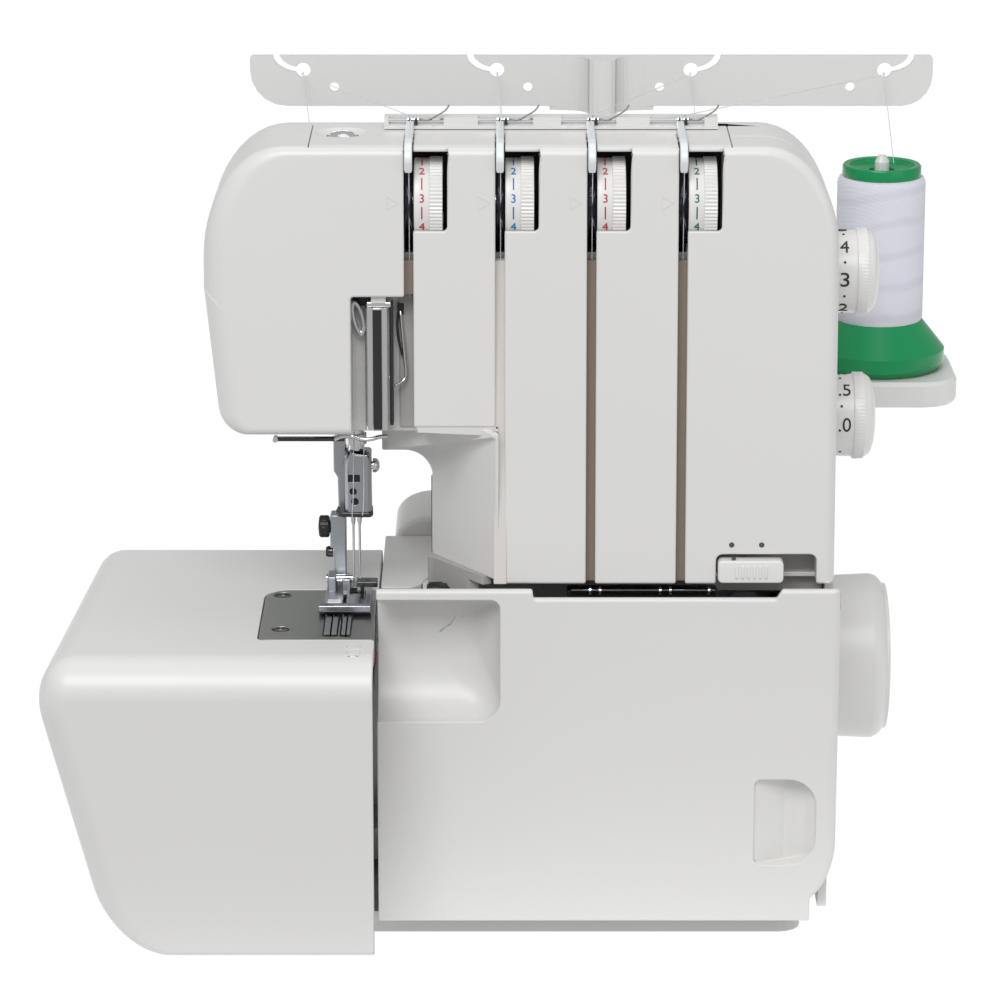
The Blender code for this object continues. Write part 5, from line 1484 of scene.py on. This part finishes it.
def foot():
    """The presser foot: sole with upturned toe, ankle block, chaining finger and right-hand extension."""
    sole = rounded([(-73.2, -86.8, 0.6), (-54.6, -86.8, 0.6), (-55.0, -78, 1), (-55.4, -50, 1),
                    (-71.0, -50, 1), (-71.4, -76, 2)], 4)
    plate = prism("sole", sole, "Z", BED_Z + 0.55, BED_Z + 2.3, "steel")
    toe = [(-87.0, BED_Z + 2.2), (-82.0, BED_Z + 0.2), (-80, BED_Z + 0.2), (-80, BED_Z + 2.6),
           (-84.6, BED_Z + 4.6), (-87.0, BED_Z + 4.2)]
    add(plate, prism("toe", toe, "X", -73.0, -54.8, "steel"))
    cut(plate, prism("toe_cut", [(-90, BED_Z - 1), (-83.2, BED_Z - 1), (-88.2, BED_Z + 3.0),
                                 (-90, BED_Z + 3.0)], "X", -80, -50))
    for x0, x1, y0, y1 in ((-64.9, -63.7, -79, -66), (-59.0, -57.8, -82, -60), (-62.8, -57.9, -66.4, -58)):
        cut(plate, box("slit", (x0, y0, BED_Z - 1), (x1, y1, BED_Z + 8)))
    soften(plate, 0.22)
    pieces = [plate]
    pieces.append(soft_box("insert", (-70.2, -80.4, BED_Z + 2.5), (-65.3, -76.2, BED_Z + 3.5),
                           "dial_white", 0.3))
    for x, top in ((-70.8, 7.8), (-65.6, 7.0)):
        pieces.append(soft_box("block", (x, -64.0, BED_Z + 2.0), (x + 3.2, -55.2, BED_Z + top), "steel",
                               0.5))
    pieces.append(turned("pin", [(-71.2, 1.5), (-62.0, 1.5)], "X", (-60, BED_Z + 6.2), "chrome", sides=28))
    arm = box("extension", (-60.4, -66.0, BED_Z + 4.6), (-52.9, -60.2, BED_Z + 6.6), "dark_steel")
    cut(arm, turned("hole", [(BED_Z, 0.7), (BED_Z + 9, 0.7)], "Z", (-56.6, -63.2), sides=24))
    pieces.append(soften(arm, 0.35))
    pieces.append(soft_box("post", (-60.4, -64.4, BED_Z + 1.8), (-58.8, -61.0, BED_Z + 5.4), "steel", 0.3))
    finger = [(-57.2, -66, BED_Z + 2.9), (-57.0, -76, BED_Z + 2.6), (-56.9, -84, BED_Z + 2.8),
              (-56.6, -87.4, BED_Z + 3.6)]
    pieces.append(tube("finger", smooth_route(finger, 5), 0.45, "chrome", sides=10,
                       taper=lambda t: 1 - 0.5 * t))
    stand_in("presser_foot", pieces, "satin_steel")


def take_up_guard():
    """The bent guard in the recess above the needles, with its cap and stem; its black band is a painted
    reflection, and the dark strip at its side and the black corner above it are painted shade.
    """
    low, high = node_box("take_up_cover")
    left, right = low.x + 0.7, high.x + 0.3
    front = low.y + 3.6
    profile = [(left, front + 7), (left, front + 1.8), (left + 0.8, front + 0.4), (left + 2.6, front),
               (left + 2.7, front - 0.25), (right - 3.0, front - 0.25), (right - 2.9, front),
               (right - 1.2, front + 0.5), (right, front + 2.2), (right, front + 7),
               (right - 0.8, front + 7), (right - 0.8, front + 2.4), (right - 1.6, front + 1.3),
               (left + 1.4, front + 1.3), (left + 0.8, front + 2.2), (left + 0.8, front + 7)]
    guard = prism("take_up_guard", profile, "Z", low.z, high.z - 2.0, "chrome")
    # black band down the chrome guard's front: a painted reflection
    band = box("guard_painted_reflection", (left + 2.75, front - 0.32, low.z + 0.5),
               (right - 3.05, front - 0.1, high.z - 2.6), "black")
    cap = box("guard_cap", (left + 0.6, front + 1.0, high.z - 2.0), (right + 0.2, front + 8.0, high.z),
              "chrome")
    stem = box("guard_stem", (left + 2.2, front + 1.0, high.z - 0.4),
               (right - 1.6, front + 2.4, high.z + 1.8), "white")
    # dark strip beside the guard's right side: painted shade
    shade = box("guard_painted_shade", (right - 0.1, front + 3.0, low.z + 1.2),
                (right + 0.9, front + 8.5, high.z - 1.0), "dark_steel")
    whole = joined("take_up_cover_fine", [soften(guard, 0.2), band, soften(cap, 0.4), stem,
                                          soften(shade, 0.3)])
    mount(whole, "root", "bright_steel", "take_up_cover")
    dark = box("recess_shadow", (RECESS_LEFT + 0.3, RECESS_BACK - 0.7, RECESS_TOP - 5.4),
               (RECESS_LEFT + 8.2, RECESS_BACK + 0.1, RECESS_TOP - 0.4), "black")
    mount(dark, "root", "black_plastic")


def recess_wires():
    """The slanting take-up loop and the wire guide on its foot, in the recess."""
    loop = []
    for k in range(25):
        angle = 2 * math.pi * k / 24
        u = 1.55 * math.cos(angle)
        v = 5.6 * math.sin(angle)
        loop.append(Vector((-58.4 + u - 0.22 * v, -80.6, 226.4 + v)))
    ring = tube("take_up_loop", loop, 0.8, "chrome", sides=12)
    mount(ring, "root", "bright_steel")
    wire = [(-43.9, -77.4, 229.4), (-43.6, -79.0, 225.5), (-43.0, -79.6, 219), (-42.4, -79.8, 212),
            (-42.0, -79.8, 206.6), (-42.9, -80.4, 204.2), (-45.8, -82.0, 202.6)]
    mount(tube("wire_guide", smooth_route(wire, 6), 0.55, "chrome", sides=12), "root", "bright_steel")
    loop = [(-44.6, -78.2, 228), (-44.9, -79.2, 223), (-44.3, -79.6, 218), (-43.2, -79.8, 213)]
    inner = tube("wire_guide_loop", smooth_route(loop, 6), 0.4, "dark_steel", sides=10)
    mount(inner, "root", "bright_steel")
    foot_pad = box("wire_guide_foot", (-44.9, -78.4, 227.2), (-42.6, -77.0, 231.2), "black")
    mount(foot_pad, "root", "black_plastic")


def head_strip():
    """The flat strip under the head with its rivet and the wavy wire that carries it on."""
    z = HEAD_BOTTOM - 1.9
    y = -80.0
    strip = [soft_box("strip", (-88.3, y - 1.2, z - 0.65), (-63.5, y + 1.2, z + 0.65), "dark_steel", 0.3)]
    strip.append(turned("end", [(y - 1.6, 0.95), (y + 1.6, 0.95)], "Y", (-87.6, z), "chrome", sides=24))
    wave = [(-67, y - 0.6, z - 0.1), (-64.5, y - 0.7, z + 0.9), (-61, y - 0.8, z + 1.1),
            (-58, y - 0.8, z + 0.2), (-54.5, y - 0.8, z + 0.1), (-51.5, y - 0.8, z + 0.9),
            (-48.6, y - 0.8, z + 1.2)]
    strip.append(tube("strand", smooth_route(wave, 6), 0.75, "chrome", sides=12))
    mount(joined("head_strip", strip), "root", "bright_steel")


def knife():
    """The moving knife, which stays below the bed at rest."""
    low, high = node_box("upper_knife")
    blade = soft_box("upper_knife_fine", (low.x + 0.8, low.y + 1, low.z),
                     (high.x - 1.2, high.y - 1, low.z + 5), "steel", 0.3)
    mount(blade, "upper_knife", "satin_steel", "upper_knife")


def looper_area():
    """The loopers' thread guides under the front cover, and the knob beside the needle plate."""
    base = soft_box("looper_guide_plate", (14, -90.5, 124), (66.5, -84, 131.2), "black", 0.5)
    pieces = [base]
    pieces.append(turned("bar", [(15.5, 0.9), (65.5, 0.9)], "X", LOOPER_ROD, "dark_steel", sides=20))
    for x in (21.5, 25.0, 46.0, 49.5, 63.0):
        pieces.append(turned("ring", [(x, 1.0), (x + 0.1, 1.5), (x + 0.9, 1.5), (x + 1.0, 1.0)], "X",
                             LOOPER_ROD, "chrome", sides=24))
    mount(joined("looper_guides", pieces), "root", "black_plastic")
    knob = [(-35.4, 3.0), (-35.2, 4.4), (-34.0, 5.2), (-28.4, 5.2), (-27.0, 4.4), (-26.8, 3.0)]
    mount(turned("thread_knob", knob, "X", (-73, 123.4), "black", sides=60,
                 ripple=knurl(-35.0, -27.0, 15, 0.4)), "root", "black_plastic")
    tab = soft_box("release_tab", (-56.2, -123.4, BED_Z - 6.2), (-52.6, -118.0, BED_Z - 1.6), "pink", 0.5)
    mount(tab, "cloth_plate", "casing_white")


def build_stitching():
    throat_plate()
    feed_dog("feed_dog_main")
    feed_dog("feed_dog_differential")
    clamp()
    needle("needle_left")
    needle("needle_right")
    needle_threads()
    presser_pieces()
    foot()
    knife()
    take_up_guard()
    recess_wires()
    head_strip()
    looper_area()


# ---------------------------------------------------------------- stage


def frame_materials():
    """Gives every CAD node the finish of its material slot; the guide bar is white moulding."""
    by_slot = {"casing_white": "white", "base_grey": "grey", "rubber_black": "rubber",
               "cast_metal": "cast", "satin_steel": "steel", "bright_steel": "chrome",
               "black_plastic": "black", "spool_green": "green", "thread_white": "thread"}
    slot_of = {row["node"]: row["material_slot"] for row in frame["record"]["subparts"]}
    for node, obj in frame["nodes"].items():
        mat = MATS["white" if node == "guide_bar" else by_slot[slot_of[node]]]
        obj.data.materials.clear()
        obj.data.materials.append(mat)


def area_light(name, place, size, power, target, colour=(1, 1, 1)):
    data = bpy.data.lights.new(name, "AREA")
    data.shape = "RECTANGLE"
    data.size, data.size_y = size
    data.energy = power
    data.color = colour
    obj = new_object(name, data)
    obj.location = place
    obj.rotation_euler = (Vector(target) - Vector(place)).to_track_quat("-Z", "Y").to_euler()


def build_stage():
    """The white floor behind and below, the world's light and three lamps."""
    mesh = bpy.data.meshes.new("floor")
    bm = bmesh.new()
    near, far, half = -0.17, 4.0, 1.0
    corners = ((-half, near), (half, near), (half, far), (-half, far))
    bm.faces.new([bm.verts.new((x, y, -0.0002)) for x, y in corners])
    bm.to_mesh(mesh)
    bm.free()
    floor = new_object("floor", mesh)
    mesh.materials.append(plain("floor_white", (0, 0, 0), 1.0, Emission_Color=(1, 1, 1, 1),
                                Emission_Strength=1.0))
    world = bpy.data.worlds.new("studio")
    bpy.context.scene.world = world
    world.use_nodes = True
    set_inputs(world.node_tree.nodes["Background"], Color=(1, 1, 1, 1), Strength=0.48)
    centre = (0, 0, 0.14)
    area_light("key", (-0.35, -1.6, 1.75), (1.3, 1.0), 27, centre)
    area_light("fill", (1.3, -1.2, 0.7), (1.2, 1.2), 3, centre)
    area_light("top", (0.1, 0.1, 1.7), (1.4, 1.0), 3, centre)


def build_camera():
    data = bpy.data.cameras.new("camera")
    data.lens = 151.2
    data.sensor_width = 36.0
    data.clip_end = 20.0
    camera = new_object("camera", data)
    pitch = math.radians(16)
    distance = 1.5521
    target = Vector((-0.0094, 0.0, 0.138))
    camera.location = target + distance * Vector((0, -math.cos(pitch), math.sin(pitch)))
    camera.rotation_euler = (math.pi / 2 - pitch, 0, 0)
    bpy.context.scene.camera = camera


def main():
    bpy.context.scene.view_settings.view_transform = "Standard"
    frame_materials()
    build_camera()
    build_stage()
    build_casings()
    build_controls()
    build_thread_path()
    build_stitching()
    for name in ("guide_bar", "spool_stand", "top_guide_plate", "base_tray", "side_cover", "motor",
                 "machine_frame"):
        soft_edges(frame["nodes"][name], 0.3)
    bpy.context.view_layer.update()


main()
